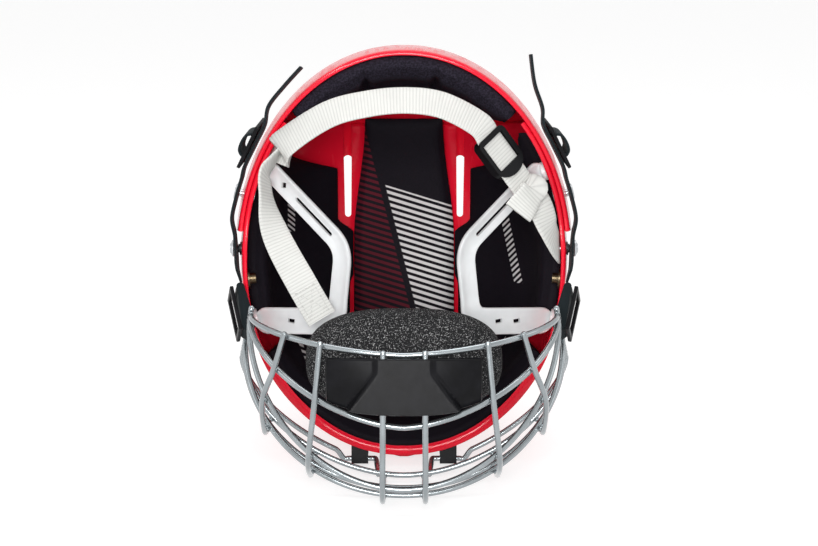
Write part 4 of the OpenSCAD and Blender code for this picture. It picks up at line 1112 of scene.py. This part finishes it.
class HELMET_OT_shells(Maker, bpy.types.Operator):
    """Make the front shell and the rear shell"""

    bl_idname = "helmet.shells"
    bl_label = "Shells"

    def make(self, form):
        arc = np.linspace(0, 1, 57)
        front = list(-np.sin(math.asin(form.tip) * (1 - arc)))
        front += list(np.linspace(0, form.lap_end, 19)[1:] / form.shell_back)
        start, end = form.vent_end / form.shell_back, form.tip
        rear = list(np.linspace(form.split_z, form.vent_end, 14) / form.shell_back)
        rear += list(np.sin(mix(math.asin(start), math.asin(end), np.linspace(0, 1, 39)[1:])))
        red = self.finish("shell_red")
        one = shape(form, "front_shell_dress", slab(
            form.shell_grid(front, form.front_in, ridged=True),
            form.shell_grid(front, form.liner_in, lipped=True), 0.9, cap_first=True), red)
        carve(one, self.vents(form, form.lap_end + 20))
        seat(one, "helmet", "shell", "front_shell")
        two = shape(form, "rear_shell_dress", slab(
            form.shell_grid(rear, 0), form.shell_grid(rear, form.shell_wall), 0.9, cap_last=True), red)
        carve(two, self.vents(form, form.vent_end) + self.adjuster_slots(form))
        seat(two, "rear", "shell", "rear_shell")

    def vents(self, form, end):
        """Slots through the dome, one each side of the middle, narrower in front."""
        wide, slim = form.vent_w / 2, form.vent_w / 3
        cuts = []
        for side in (-1, 1):
            x = side * (form.vent_x + wide)
            back = [(x + wide * math.cos(t), end - wide + wide * math.sin(t))
                    for t in np.linspace(0, math.pi, 13)]
            front = [(x + slim * math.cos(t), form.vent_z + slim + slim * math.sin(t))
                     for t in np.linspace(math.pi, 2 * math.pi, 13)]
            points, faces = prism(back + front, 60, 170)
            cuts.append((form.lay(points[:, (0, 2, 1)]), faces))
        return cuts

    def adjuster_slots(self, form):
        """Slots that let the rear shell slide past its screws."""
        points, faces = prism(capsule((0, 0), (form.adjust_travel, 0), form.adjust_d + 1), -16, 16)
        slot = place(points, form.adjuster_at()), faces
        return [(form.lay(p), f) for p, f in (slot, mirrored(slot))]


def pad(outer_in, thick, at, n=44, m=26, rim=1.6, grooves=()):
    """A foam pad on the shell: at gives its points, grooves its moulded channels."""
    low, crown = 0.45, 5
    u, v = np.meshgrid(np.linspace(0, 1, n + 1), np.linspace(0, 1, m + 1), indexing="ij")
    swell = np.sqrt((1 - np.abs(2 * u - 1) ** crown) * (1 - np.abs(2 * v - 1) ** crown))
    rise = low + (1 - low) * swell
    for middle, half, depth in grooves:
        rise = rise * (1 - depth * np.exp(-((u - middle) / half) ** 2))
    return slab(at(u, v, np.full(u.shape, outer_in)), at(u, v, outer_in + thick * rise), rim, steps=7)


class HELMET_OT_liner(Maker, bpy.types.Operator):
    """Make the foam pads of the liner"""

    bl_idname = "helmet.liner"
    bl_label = "Liner"

    brow_half, brow_top = 54, 86
    crown_front, side_front, temple_front = -86, -92, -45
    nape_half, nape_top, nape_side_top = 37, 84, 62
    dome_share = 0.6

    def make(self, form):
        def brow(u, v, inset):
            th = mix(self.brow_half, -self.brow_half, u)
            low = form.edge_y(np.abs(th)) + mix(5, 18, ease(fade(np.abs(th), 0, 60)))
            return form.ring_pt(th, mix(low, self.brow_top, v), inset)

        def crown(u, v, inset):
            z = mix(self.crown_front, form.lap_end, u)
            x = mix(-1, 1, v) * form.crown_half(z)
            return np.stack((x, form.dome_y(x, z, inset), z), -1)

        def side(u, v, inset):
            z = mix(mix(self.side_front, self.temple_front, ease(fade(v, 0, 0.4))),
                    mix(form.lap_end - 34, form.lap_end - 12, v), u)
            over = np.sin(np.radians(90 / self.dome_share * np.minimum(v, self.dome_share)))
            x = mix(form.side_in(z), form.half_w(z, inset), over)
            dome = np.stack((x, form.dome_y(x, z, inset), z), -1)
            drop = mix(form.girth_h, form.side_pad_h, fade(v, self.dome_share, 1))
            return np.where((v < self.dome_share)[..., None], dome, form.wall_pt(drop, z, inset))

        def nape(u, v, inset):
            off = mix(self.nape_half, -self.nape_half, u)
            top = mix(self.nape_top, self.nape_side_top, ease(fade(np.abs(off), 26, self.nape_half)))
            return form.ring_pt(180 + off, mix(form.edge_y(180 - np.abs(off)) + 4, top, v), inset)

        right = pad(form.pad_in, form.pad_t, side, n=70, m=36, rim=1.0)
        pads = (
            ("brow_pad", pad(form.pad_in, form.pad_t, brow, n=60), "brow_print", "helmet"),
            ("crown_pad", pad(form.pad_in, form.pad_t, crown, n=60, rim=1.0), "crown_print", "helmet"),
            ("side_pad_right", right, "side_print_right", "helmet"),
            ("side_pad_left", mirrored(right), "side_print_left", "helmet"),
            ("rear_pad", pad(form.shell_wall + form.pad_seat, form.rear_pad_t, nape, n=60, m=30,
                             grooves=((0.33, 0.018, 0.28), (0.64, 0.018, 0.28))), "nape_foam", "rear"),
        )
        for node, part, paint, body in pads:
            self.dress(node, part, body, paint, slot="liner", sharp=70)


class HELMET_OT_ear_guards(Maker, bpy.types.Operator):
    """Make the two plastic ear guards"""

    bl_idname = "helmet.ear_guards"
    bl_label = "Ear guards"

    corner = 11
    long_slot = (0.36, 0.82, 2.6)
    windows = ((0, 1, 0.36, 2.6, 5), (0, 1, 0.62, 2.6, 5), (3, 2, 0.17, 3.4, 3.4))

    def make(self, form):
        depth = form.wall_seat + form.guard_t / 2
        front, rear = (form.under_wall(y, z, depth) for y, z in form.guard_feet)
        u = unit(rear - front)
        out = np.array((-form.guard_reach, -form.guard_drop, 0))
        fall = unit(out - u * (out @ u))
        at = (front, u, fall, np.cross(u, fall))
        long, deep = np.linalg.norm(rear - front), math.hypot(form.guard_reach, form.guard_drop)
        line = np.array(((0, form.guard_front_w / 2 - 0.2), (8, deep), (long * 0.58, deep + 2),
                         (long, form.guard_w / 2 - 0.2)))
        path, half = self.rounded(line, form.guard_front_w / 2, form.guard_w / 2)
        t = form.guard_t / 2
        section = [(1, 0.55 * t), (0.93, t), (0.72, t), (0.55, 0.45 * t), (0, 0.4 * t),
                   (-0.55, 0.45 * t), (-0.72, t), (-0.93, t), (-1, 0.55 * t), (-1, -0.55 * t),
                   (-0.93, -t), (0, -t), (0.93, -t), (1, -0.55 * t)]
        flat = np.concatenate((path, np.zeros((len(path), 1))), 1)
        up = np.broadcast_to((0, 0, 1.0), flat.shape)
        points, faces = sweep(flat, half, section, np.cross(headings(flat), up), up)
        loop = (place(points, at), faces)
        *ends, slot_w = self.long_slot
        slots = [prism(capsule(*[mix(line[3], line[2], t) for t in ends], slot_w), -9, 9)]
        for a, b, t, w, h in self.windows:
            box = mix(line[a], line[b], t) + np.array((w, h)) / 2 * ((-1, -1), (1, -1), (1, 1), (-1, 1))
            slots.append(prism(box, -9, 9))
        foot = prism(capsule((0, -4), (0, 4), 12), -form.wall_seat - form.guard_t, -form.wall_seat)
        tabs = [(place(foot[0], form.foot_at(y, z)), foot[1]) for y, z in form.guard_feet]
        milky = self.finish("guard_plastic")
        for name, side in SIDES.items():
            piece = shape(form, f"ear_guard_{name}_dress", side(loop), milky)
            cuts = [side((place(p, at), f)) for p, f in slots]
            carve(piece, [(form.lay(p), f) for p, f in cuts])
            seat(piece, "helmet", "guard_plastic", f"ear_guard_{name}")
            feet = shape(form, f"ear_guard_{name}_tabs", join(*[side(tab) for tab in tabs]), milky)
            seat(soften(feet, 0.6), "helmet", "guard_plastic")

    def rounded(self, line, wide, slim):
        """Centre line with rounded corners, and half widths that round off both ends."""
        pts = [line[0]]
        for a, b, c in zip(line, line[1:], line[2:]):
            start, end = b + self.corner * unit(a - b), b + self.corner * unit(c - b)
            pts += [mix(mix(start, b, t), mix(b, end, t), t) for t in np.linspace(0, 1, 11)]
        pts.append(line[-1])
        dense = [pts[0]]
        for a, b in zip(pts, pts[1:]):
            steps = max(1, int(np.linalg.norm(b - a) / 4))
            dense += [mix(a, b, k / steps) for k in range(1, steps + 1)]
        nose = np.sin(np.radians((85, 70, 52, 35, 18)))
        ahead, behind = unit(dense[0] - dense[1]), unit(dense[-1] - dense[-2])
        path = [dense[0] + wide * s * ahead for s in nose] + dense
        path += [dense[-1] + slim * s * behind for s in nose[::-1]]
        arm = np.linalg.norm(line[1] - line[0])
        middle = mix(wide, slim, ease(fade(run_of(dense), arm - 8, arm + 12)))
        taper = np.sqrt(1 - nose * nose)
        return np.array(path), np.concatenate((wide * taper, middle, slim * taper[::-1]))


class HELMET_OT_cage(Maker, bpy.types.Operator):
    """Make the cage's wires, bars and welds"""

    bl_idname = "helmet.cage"
    bl_label = "Cage"

    level, upright = (0.05, 1, 0.02), (1, 0.02, 0.03)
    bead_r, bead_squash = 1.9, 0.8

    def make(self, form):
        made = {}
        for name, h in form.hoops.items():
            path = np.array([form.hoop_at(h, a) for a in np.linspace(-90, 90, 97)])
            made[f"cage_{name}_wire"] = tube(path, self.level, form.wire_r)
        bars = {"centre": (form.bar_x1, form.bar_x1), "inner": (form.bar_x2 - 6, form.bar_x2),
                "outer": (form.bar_x3 - 12, form.bar_x3)}
        beads = []
        for name, (low, high) in bars.items():
            bar = tube(form.bar_path(low, high), self.upright, form.wire_r)
            made[f"cage_{name}_bars"] = join(bar, mirrored(bar))
            for wire, on in form.bar_points(low, high):
                beads += self.bead(wire, on)
        for h in (*form.hoops.values(), form.top_hoop):
            end = np.array(h[:3])
            y = (end - form.post_low) @ form.post_dir
            beads += self.bead(end, form.post_low + y * form.post_dir)
        post = tube(np.array([mix(form.post_low, form.post_high, t) for t in np.linspace(0, 1, 15)]),
                    self.upright, form.wire_r)
        made["cage_side_posts"] = join(post, mirrored(post))
        runs = self.top_runs(form)
        made["cage_top_wire"] = join(*runs, *[mirrored(run) for run in runs])
        half = form.clip_w / 2 + 2
        pin = tube(np.array([form.hinge + (form.clip_x + d, 0, 0) for d in np.linspace(-half, half, 9)]),
                   self.level, form.wire_r)
        made["cage_hinge_wire"] = join(pin, mirrored(pin))
        for node, part in made.items():
            self.dress(node, part, "cage", "cage_wire")
        weld = lathe([(self.bead_r * math.cos(a), self.bead_r * math.sin(a) * self.bead_squash)
                      for a in np.linspace(-1.5, 1.5, 7)], 10)
        self.repeat("cage_welds", weld, beads, "cage", "cage_wire")

    def bead(self, a, b):
        """Places of a weld bead between two wires, on both sides."""
        found = []
        for turn in (np.asarray, flip_x):
            o, across = turn(mix(a, b, 0.5)), unit(turn(b - a))
            ex = unit(np.cross(across, (0.3, 0.9, 0.2)))
            found.append((o, ex, np.cross(across, ex), across))
        return found

    def top_runs(self, form):
        """The upper edge wire beside a clip, and its short end that ties to the wire below."""
        half = form.clip_w / 2 + 2.1
        outer, inner = form.clip_x + half, form.clip_x - half
        y, z = form.hinge[1:]
        start = form.hoop_angle(form.top_hoop, outer + 8)
        arc = [form.hoop_at(form.top_hoop, a) for a in np.linspace(start, 90, 49)]
        lead = smooth_path([(outer, y, z), (outer + 3, y, z), arc[0], arc[4]], 6)[:-6]
        bend = np.array((inner - 3, y - 1, z - 0.5))
        tie = form.hoop_x(form.hoops["eye"], inner - 5) + (form.wire_d + 0.2) * np.array((0, 0.9, -0.4))
        middle = np.concatenate(([(inner, y, z)], smooth_path(
            [(inner - 1.2, y, z), bend, mix(bend, tie, 0.6), tie], 9)))
        return [tube(np.concatenate((lead[:-1], arc)), self.level, form.wire_r),
                tube(middle, (1, 0.02, 0.05), form.wire_r)]


class HELMET_OT_brow_clips(Maker, bpy.types.Operator):
    """Make the two hinge clips on the brow"""

    bl_idname = "helmet.brow_clips"
    bl_label = "Brow clips"

    def make(self, form):
        for side in ("left", "right"):
            self.dress_copy(f"brow_clip_{side}", "helmet", "black_plastic", 0.55)


class HELMET_OT_chin_cup(Maker, bpy.types.Operator):
    """Make the foam chin cup and its bracket"""

    bl_idname = "helmet.chin_cup"
    bl_label = "Chin cup"

    rim_lat, rim_round, bowl_lift = 8, 1.5, 4
    middle_half, middle_flare = 15.3, 0.76
    # Bracket: cover over the bars, share of the cup's length, back edge, and the wings' step down.
    cover, front_share, back_edge, wing_drop = 1.5, 0.93, 2.7, 2.4

    def make(self, form):
        lon = np.linspace(0, 360, 97)[:-1]
        rings = [form.cup_pt(lon, lat, 0) for lat in np.linspace(89.9, self.rim_lat, 26)]
        rim_out = rings[-1]
        bowl = [form.cup_pt(lon, lat, -form.cup_t) + (0, self.bowl_lift, 0)
                for lat in np.linspace(0, 89.9, 26)]
        inside = [ring for ring in bowl if ring[0, 1] < rim_out[0, 1] - 0.4]
        for a in np.linspace(0, math.pi, 9)[1:-1]:
            ring = mix(rim_out, inside[0], (1 - math.cos(a)) / 2)
            rings.append(ring + np.array((0, self.rim_round * math.sin(a), 0)))
        foam_cup = self.dress("chin_cup_foam", loft(rings + inside), "cage", "cup_foam", sharp=70)
        self.dress("chin_cup_bracket", self.bracket(form), "cage", "black_plastic", sharp=50)

    def bracket(self, form):
        """A plate over the cup, its flat middle standing out beyond two wings."""
        bar_y = form.bar_points(form.bar_x1, form.bar_x1)[0][1][1]
        level = bar_y - form.wire_r - self.cover
        u, v = np.meshgrid(np.linspace(0, 1, 93), np.linspace(0, 1, 33), indexing="ij")
        x = form.bracket_w * (u - 0.5)
        low = (1 - (np.abs(x) / (form.cup_w / 2)) ** form.cup_n) ** (1 / form.cup_n)
        z = mix(-self.front_share * form.cup_len / 2 * low, self.back_edge, v ** 1.6)
        edge = self.middle_half + self.middle_flare * np.maximum(0, -5 - z)
        wing = ease(fade(np.abs(x), edge, edge + 3))

        def face(off, drop, y):
            p = form.cup_face(x, z, off - drop * wing)
            p[..., 1] = mix(np.minimum(p[..., 1], y), p[..., 1], wing)
            return p
        return slab(face(form.cup_c[1] - form.cup_depth - level, self.wing_drop, level),
                    face(form.wall_seat, 0, level + form.wire_d + 4), 0.7, steps=6)


class HELMET_OT_side_straps(Maker, bpy.types.Operator):
    """Make the side straps with their sleeves, folds, buckles and loops"""

    bl_idname = "helmet.side_straps"
    bl_label = "Side straps"

    tails = {"right": ((24.5, -43, 94), (29.5, -45, 109), (32, -46, 127)),
             "left": ((26.5, -44, 95), (36, -46, 107), (47, -47, 119))}
    post_r, end_r = 4.5, 2.5

    def make(self, form):
        section = web_section(form.side_web_w, form.side_web_t)
        for name, side in SIDES.items():
            body = f"strap_{name}"
            run = smooth_path(form.side_run([form.from_side(*p) for p in self.tails[name]]), 8)
            strap = band(run, (0, 1.0, 0), form.side_web_w / 2, section)
            for piece, part in (("strap", strap), ("fold", self.fold(form, section)),
                                ("sleeve", self.sleeve(form))):
                self.dress(f"side_{piece}_{name}", side(part), body, "dark_web")
            for piece in ("buckle", "loop"):
                self.dress_copy(f"side_{piece}_{name}", body, "black_plastic", 0.6)
            threads = self.stitches(form)
            if name == "left":
                threads = [tuple(flip_x(v) for v in at) for at in threads]
            self.repeat(f"side_stitches_{name}", stitch(), threads, body, "dark_web")

    def fold(self, form, section):
        """The strap's fold over the buckle's bar."""
        foot, lift = 7.5, form.side_web_t / 2 + 2.7 * form.seat
        top = lift + 2.2 + form.seat + form.side_web_t
        half = [(-foot, 0, lift + form.side_web_t / 2), (-foot, 0, top - 1),
                (-foot + 2.5, 0, top + 1.5), (0, 0, top + 2.2)]
        path = smooth_path(half + [(-x, y, z) for x, y, z in half[2::-1]], 6)
        points, faces, where = band(path, (0, 1.0, 0), form.side_web_w / 2, section)
        return place(points, form.strap_frame(form.buckle_z)), faces, where

    def sleeve_axes(self, form):
        """Origin and axes at the post: along the sleeve, out of it and up the post; its length."""
        run = form.sleeve_end - form.strap_post
        ex = unit(run - form.post_dir * (run @ form.post_dir))
        return form.strap_post, ex, np.cross(form.post_dir, ex), form.post_dir, run @ ex

    def sleeve(self, form):
        """Padded loop of webbing round the post, its edges rounded."""
        *at, run = self.sleeve_axes(form)
        reach = run - 5.4
        high = form.side_web_w / 2 + 1
        lean = math.acos((self.post_r - self.end_r) / reach)
        outline = [(self.post_r * math.cos(t), self.post_r * math.sin(t))
                   for t in np.linspace(lean, 2 * math.pi - lean, 25)]
        outline += [(reach + self.end_r * math.cos(t), self.end_r * math.sin(t))
                    for t in np.linspace(-lean, lean, 15)]
        outline = np.array(outline)
        away = np.array([unit(p - (min(max(p[0], 0), reach), 0)) for p in outline])
        rings = []
        for inset, h in ((1.1, -high), (0.35, -high + 0.35), (0, -high + 1.1), (0.2, -high / 2),
                         (0.3, 0), (0.2, high / 2), (0, high - 1.1), (0.35, high - 0.35), (1.1, high)):
            flat = outline - inset * away
            rings.append(np.concatenate((flat, np.full((len(flat), 1), h)), 1))
        points, faces = loft(rings)
        where = [(s * MM, ring[0, 2] * MM) for ring in rings for s in run_of(outline)]
        return place(points, at), faces, where

    def stitches(self, form):
        """Places of a double seam where the sleeve closes on the strap."""
        *at, run = self.sleeve_axes(form)
        o, ex, ey, ez = at
        found = []
        for x in (run - 9, run - 6):
            for k in range(-3, 4):
                base = o + x * ex + k * 2.2 * ez
                for s in (-1, 1):
                    found.append((base + s * 2.75 * ey, ez, unit(np.cross(s * ey, ez)), s * ey))
        return found


def stitch():
    """One short thread, lying along x."""
    rings = []
    for x, r in ((-0.85, 0.1), (-0.6, 0.24), (0, 0.28), (0.6, 0.24), (0.85, 0.1)):
        a = np.linspace(0, 2 * math.pi, 6, endpoint=False)
        rings.append(np.stack((np.full(6, x), r * np.cos(a), r * np.sin(a)), -1))
    return loft(rings)


class HELMET_OT_chin_strap(Maker, bpy.types.Operator):
    """Make the chin strap, its folded end, its loose leg and the slider"""

    bl_idname = "helmet.chin_strap"
    bl_label = "Chin strap"

    arch = ((-77, -40, 70), (-48, -50, 89), (-22, -54, 96), (2, -55, 98), (24, -53, 95))
    leg = ((24.5, -40, 54), (25, -44, 38), (31.5, -48, 14), (47.5, -49, -16), (59.5, -46, -37))
    leg_across = ((0.3, -1, -0.1), (0.35, -0.95, -0.15), (0.8, -0.5, -0.35), (1, -0.15, -0.42),
                  (1, -0.15, -0.42))
    to_right = ((26.5, -35, 35), (19.5, -33, 18))
    to_right_across = ((0.75, 0.5, 0.45), (0.3, 0.5, 0.8))
    slider_at, slider_run, slider_across = (50.5, -45, 65), (18, 6, -24), (0.65, 0.54, 0.53)
    straight = 24

    def make(self, form):
        left_n = form.wall_normal(form.left_y, form.left_z, form.liner_in)
        leave = form.along_wall(form.left_y, form.left_z, (-0.1, -1, 0.1))
        across = flip_x(np.cross(leave, left_n))
        run = [(flip_x(p), across) for p in form.left_root(form.web_lap, leave, 0.55)]
        run += [(np.array(p), unit((p[0] * 0.9, 45, p[2] - 20))) for p in self.arch]
        slider_c = form.from_side(*self.slider_at)
        sx = unit(self.slider_run)
        sz = unit(np.cross(sx, unit(self.slider_across)))
        sy = np.cross(sz, sx)
        run += [(slider_c + self.straight * k * sx, sy) for k in np.linspace(-1, 1, 5)]
        right = form.under_wall(form.stud_y, form.stud_z, form.web_in)
        come = form.along_wall(form.stud_y, form.stud_z, (0, 1, -0.1))
        flat = np.cross(form.wall_normal(form.stud_y, form.stud_z, form.liner_in), come)
        run += [(form.from_side(*p), np.array(a)) for p, a in zip(self.to_right, self.to_right_across)]
        run += [(right + d * come, flat) for d in (-13, 0, 6)]
        self.web(form, "chin_strap", *zip(*run), 9)

        start = slider_c + self.straight * sx + (form.chin_web_t + 4 * form.seat) * sz
        self.web(form, "chin_strap_tail", [start, start + 5 * sx + 4 * sz, start + (-5, -8, -18)],
                 [sy, sy, np.array((0.9, 0.3, 0.3))], 12)

        leave = form.along_wall(form.left_y, form.left_z, (0.05, -1, -0.15))
        points = form.left_root(form.web_in, leave, 0.2) + [form.from_side(*p) for p in self.leg]
        across = [np.cross(leave, left_n)] * 4 + [np.array(a) for a in self.leg_across]
        seam = self.patch(form, *self.web(form, "chin_strap_leg", points, across, 10, mirrored))
        self.repeat("chin_strap_stitches", stitch(), seam, "helmet", "white_web")
        self.slider(form, slider_c, sx, sy, sz)

    def web(self, form, node, points, across, steps, side=same):
        """A stretch of webbing through points, as wide as the chin strap."""
        path, wide = smooth_path(points, steps), smooth_path(across, steps)
        part = band(path, wide, form.chin_web_w / 2, web_section(form.chin_web_w, form.chin_web_t))
        self.dress(node, side(part), "helmet", "white_web")
        return path, wide

    def patch(self, form, path, wide):
        """Places of a sewn box near the leg's free end."""
        t = headings(path)
        n = unit(np.cross(t, wide))
        c = np.cross(n, t)
        run = run_of(path)
        half, high = 6.5, form.chin_web_t / 2
        low, top = run[-1] - 24, run[-1] - 4
        spots = [(s, k * half, 0) for k in (-1, 1) for s in np.arange(low, top + 0.1, 2.2)]
        spots += [(s, w, 1) for s in (low, top) for w in np.arange(-half + 1, half, 2.2)]
        spots += [(s, half * (2 * (s - low) / (top - low) - 1) * k, 2 * k)
                  for k in (-1, 1) for s in np.arange(low + 1.5, top, 1.9)]
        found = []
        for s, w, way in spots:
            i = min(int(np.searchsorted(run, s)), len(path) - 1)
            lean = {0: t[i], 1: c[i]}.get(way, unit(t[i] + way / 2 * 0.65 * c[i]))
            for face in (-1, 1):
                o = path[i] + w * c[i] + face * (high + 0.05) * n[i]
                axes = (lean, np.cross(face * n[i], lean), face * n[i])
                found.append((flip_x(o),) + tuple(flip_x(a) for a in axes))
        return [(o, a, -b, e) for o, a, b, e in found]

    def slider(self, form, o, ex, ey, ez):
        """The slider's solid with one end rounded to a D and its edges softened."""
        half, wide, d_round, corner = 15, form.chin_web_w / 2 + 3, 9.5, 4
        d_end = [(half - d_round + d_round * math.cos(a), wide * math.sin(a))
                 for a in np.linspace(-math.pi / 2, math.pi / 2, 25)]
        upper = [(corner - half + corner * math.cos(a), wide - corner + corner * math.sin(a))
                 for a in np.linspace(math.pi / 2, math.pi, 7)]
        lower = [(x, -y) for x, y in upper[::-1]]
        points, faces = prism(d_end + upper + lower, -9, 9)
        piece = solid_copy("strap_slider_dress", "strap_slider", self.finish("black_plastic"))
        carve(piece, [(form.lay(place(points, (o, ex, ey, ez))), faces)], "INTERSECT")
        seat(soften(piece, 0.45), "slider", "black_plastic", "strap_slider")


class HELMET_OT_hardware(Maker, bpy.types.Operator):
    """Make the screws, rivets, snaps and nuts"""

    bl_idname = "helmet.hardware"
    bl_label = "Hardware"

    def make(self, form):
        both = self.both_sides
        wall = form.liner_in
        lift = wall + 0.3 * form.adjust_travel
        thread = form.adjust_d / 2
        web = form.chin_web_t / 2 + 0.1
        tabs = [self.moved(form.foot_at(y, z), form.foot_rise, -form.wall_seat - form.guard_t - 0.1)
                for y, z in form.guard_feet]
        snap = self.moved(form.strap_frame(form.stud_z), 0, form.side_web_t / 2 + 2 * form.seat)
        stud = form.on_wall(form.strap_pt(form.stud_z)[1], form.stud_z, form.front_in)
        left = self.flipped(form.on_wall(form.left_y, form.left_z, wall))
        right = form.on_wall(form.stud_y, form.stud_z, wall)
        foot_x = form.clip_x - form.clip_w / 2
        brow = -(form.half_len(-1, form.front_in)) * (
            1 - (foot_x / (form.shell_w / 2 - form.front_in)) ** form.plan_n) ** (1 / form.plan_n)
        clip = (np.array((form.clip_x, form.hinge[1] + 9, brow - 3.5)), np.array((-1.0, 0, 0)),
                np.array((0, 1.0, 0)), np.array((0, 0, -1.0)))
        cap = [(5.2, 0), (5.5, 0.3), (5.4, 1.0), (4.6, 1.5), (3.6, 1.6), (3.3, 2.2), (2.4, 2.55), (0.2, 2.6)]
        # Node, body, profile as pairs of radius and height, and places.
        turned = (
            ("adjuster_screws", "helmet",
             [(thread, 0), (thread, lift), (5.1, lift), (5.5, lift + 0.5), (5.3, lift + 1.3),
              (4.2, lift + 1.9), (2.2, lift + 2.0), (1.9, lift + 1.2), (0.2, lift + 1.1)],
             both([form.adjuster_at()])),
            ("ear_guard_screws", "helmet",
             [(2, form.guard_t + 3), (2, 0), (3.9, 0), (4.0, -0.5), (3.5, -1.4), (2.4, -1.9),
              (1.5, -2.0), (1.2, -1.2), (0.2, -1.1)], both(tabs)),
            ("strap_snap_right", "strap_right", cap, [snap]),
            ("strap_snap_left", "strap_left", cap, [self.flipped(snap)]),
            ("strap_studs", "helmet",
             [(4.3, 0.1), (4.5, 0.4), (4.2, 1.0), (3.0, 1.05), (2.7, 1.6), (3.0, 2.0), (2.4, 2.1),
              (0.2, 2.1)], both([stud])),
            ("chin_strap_rivets", "helmet",
             [(2, form.web_in + 3), (2, 0), (4.0, 0), (4.2, -0.4), (3.7, -1.1), (2.4, -1.5), (0.2, -1.6)],
             [self.moved(left, 0, -form.web_lap - web), self.moved(right, 0, -form.web_in - web)]),
            ("brow_clip_screws", "helmet",
             [(2, -8), (2, 0), (3.3, 0), (3.5, 0.5), (3.2, 1.3), (2.3, 1.9), (1.5, 2.0), (1.2, 1.2),
              (0.2, 1.1)], both([clip])),
        )
        for node, body, profile, places in turned:
            self.repeat(node + "_dress", lathe(profile), places, body, "steel", node)
        for node, paint in (("adjuster_nuts", "steel"), ("visor_nut_left", "brass"),
                            ("visor_nut_right", "brass")):
            self.dress_copy(node, "helmet", paint, 0.25, 2)

    def moved(self, at, y, z):
        o, ex, ey, ez = at
        return o + y * ey + z * ez, ex, ey, ez

    def flipped(self, at):
        o, ex, ey, ez = at
        return flip_x(o), -flip_x(ex), flip_x(ey), flip_x(ez)

    def both_sides(self, places):
        return list(places) + [self.flipped(at) for at in places]


class HELMET_OT_stage(Maker, bpy.types.Operator):
    """Make the table, the soft light and the camera"""

    bl_idname = "helmet.stage"
    bl_label = "Stage"

    distance, focal_px, sensor = 1.35, 2100.0, 36
    view_lift = 1.2
    target, target_px = (0.0, -0.4, 8.4), (404, 244)
    table_half, table_glow = 8.0, 0.7
    sky_light, sky_seen = 0.4, 1.0
    lamps = {"overhead": ((0.1, 0.2, 1.6), 0.9, 6.5), "front": ((-0.1, -1.35, 0.55), 0.5, 15.0),
             "left_fill": ((-1.3, -0.6, 0.8), 0.7, 2.0), "right_fill": ((1.4, -0.5, 0.8), 0.7, 2.0)}
    lamp_aim = Vector((0, 0, 0.15))

    def make(self, form):
        scene = self.context.scene
        scene.view_settings.view_transform = "Standard"
        lens = bpy.data.cameras.new("camera")
        lens.sensor_width = self.sensor
        lens.sensor_fit = "HORIZONTAL"
        lens.lens = self.sensor * self.focal_px / IMAGE_W
        lens.shift_x = (IMAGE_W / 2 - self.target_px[0]) / IMAGE_W
        lens.shift_y = (self.target_px[1] - IMAGE_H / 2) / IMAGE_W
        camera = new_object("camera", lens)
        e = form.dip + math.radians(self.view_lift)
        x, y, z = form.lay(self.target)
        camera.location = (x, y - self.distance * math.cos(e), z + self.distance * math.sin(e))
        camera.rotation_euler = (math.pi / 2 - e, 0, 0)
        scene.camera = camera
        self.floor(scene.helmet_colours.floor)
        self.light(scene)

    def floor(self, rgb):
        """A pale table that shows white and keeps the helmet's shadow."""
        s = self.table_half
        mesh = mesh_of("table", [(-s, -s, 0), (s, -s, 0), (s, s, 0), (-s, s, 0)], [(0, 1, 2, 3)])
        f = Finish("table_white", self.form)
        f.put(Roughness=0.7, Specular_IOR_Level=0.1, Base_Color=(*rgb, 1), Emission_Color=(1, 1, 1, 1),
              Emission_Strength=f.times(f.seen(), self.table_glow))
        mesh.materials.append(f.mat)
        new_object("table", mesh)

    def light(self, scene):
        scene.world = bpy.data.worlds.new("studio")
        scene.world.use_nodes = True
        sky = Nodes(scene.world.node_tree)
        back = sky.tree.nodes["Background"].inputs
        sky.feed(back["Color"], (1, 1, 1, 1))
        sky.feed(back["Strength"], sky.scale_to(sky.seen(), self.sky_light, self.sky_seen))
        for name, (spot, size, power) in self.lamps.items():
            lamp = bpy.data.lights.new(name, "AREA")
            lamp.size = size
            lamp.energy = power
            obj = new_object(name, lamp)
            obj.location = spot
            obj.rotation_euler = (self.lamp_aim - obj.location).to_track_quat("-Z", "Y").to_euler()


OPERATORS = (
    HELMET_OT_stage, HELMET_OT_shells, HELMET_OT_liner, HELMET_OT_ear_guards, HELMET_OT_cage,
    HELMET_OT_brow_clips, HELMET_OT_chin_cup, HELMET_OT_side_straps, HELMET_OT_chin_strap,
    HELMET_OT_hardware,
)


class HELMET_PT_panel(bpy.types.Panel):
    """Lists the helmet's pieces, sizes and colours"""

    bl_idname = "HELMET_PT_panel"
    bl_label = "Hockey helmet"
    bl_space_type = "VIEW_3D"
    bl_region_type = "UI"
    bl_category = "Helmet"

    def draw(self, context):
        for maker in OPERATORS:
            self.layout.operator(maker.bl_idname)
        for group in (context.scene.helmet_sizes, context.scene.helmet_colours):
            box = self.layout.box()
            for key in group.__annotations__:
                box.prop(group, key)


CLASSES = (HelmetSizes, HelmetColours, *OPERATORS, HELMET_PT_panel)


def register():
    for cls in CLASSES:
        bpy.utils.register_class(cls)
    bpy.types.Scene.helmet_sizes = PointerProperty(type=HelmetSizes)
    bpy.types.Scene.helmet_colours = PointerProperty(type=HelmetColours)


def unregister():
    del bpy.types.Scene.helmet_colours
    del bpy.types.Scene.helmet_sizes
    for cls in reversed(CLASSES):
        bpy.utils.unregister_class(cls)


def main():
    register()
    for maker in OPERATORS:
        group, name = maker.bl_idname.split(".")
        getattr(getattr(bpy.ops, group), name)()


if __name__ == "__main__":
    main()
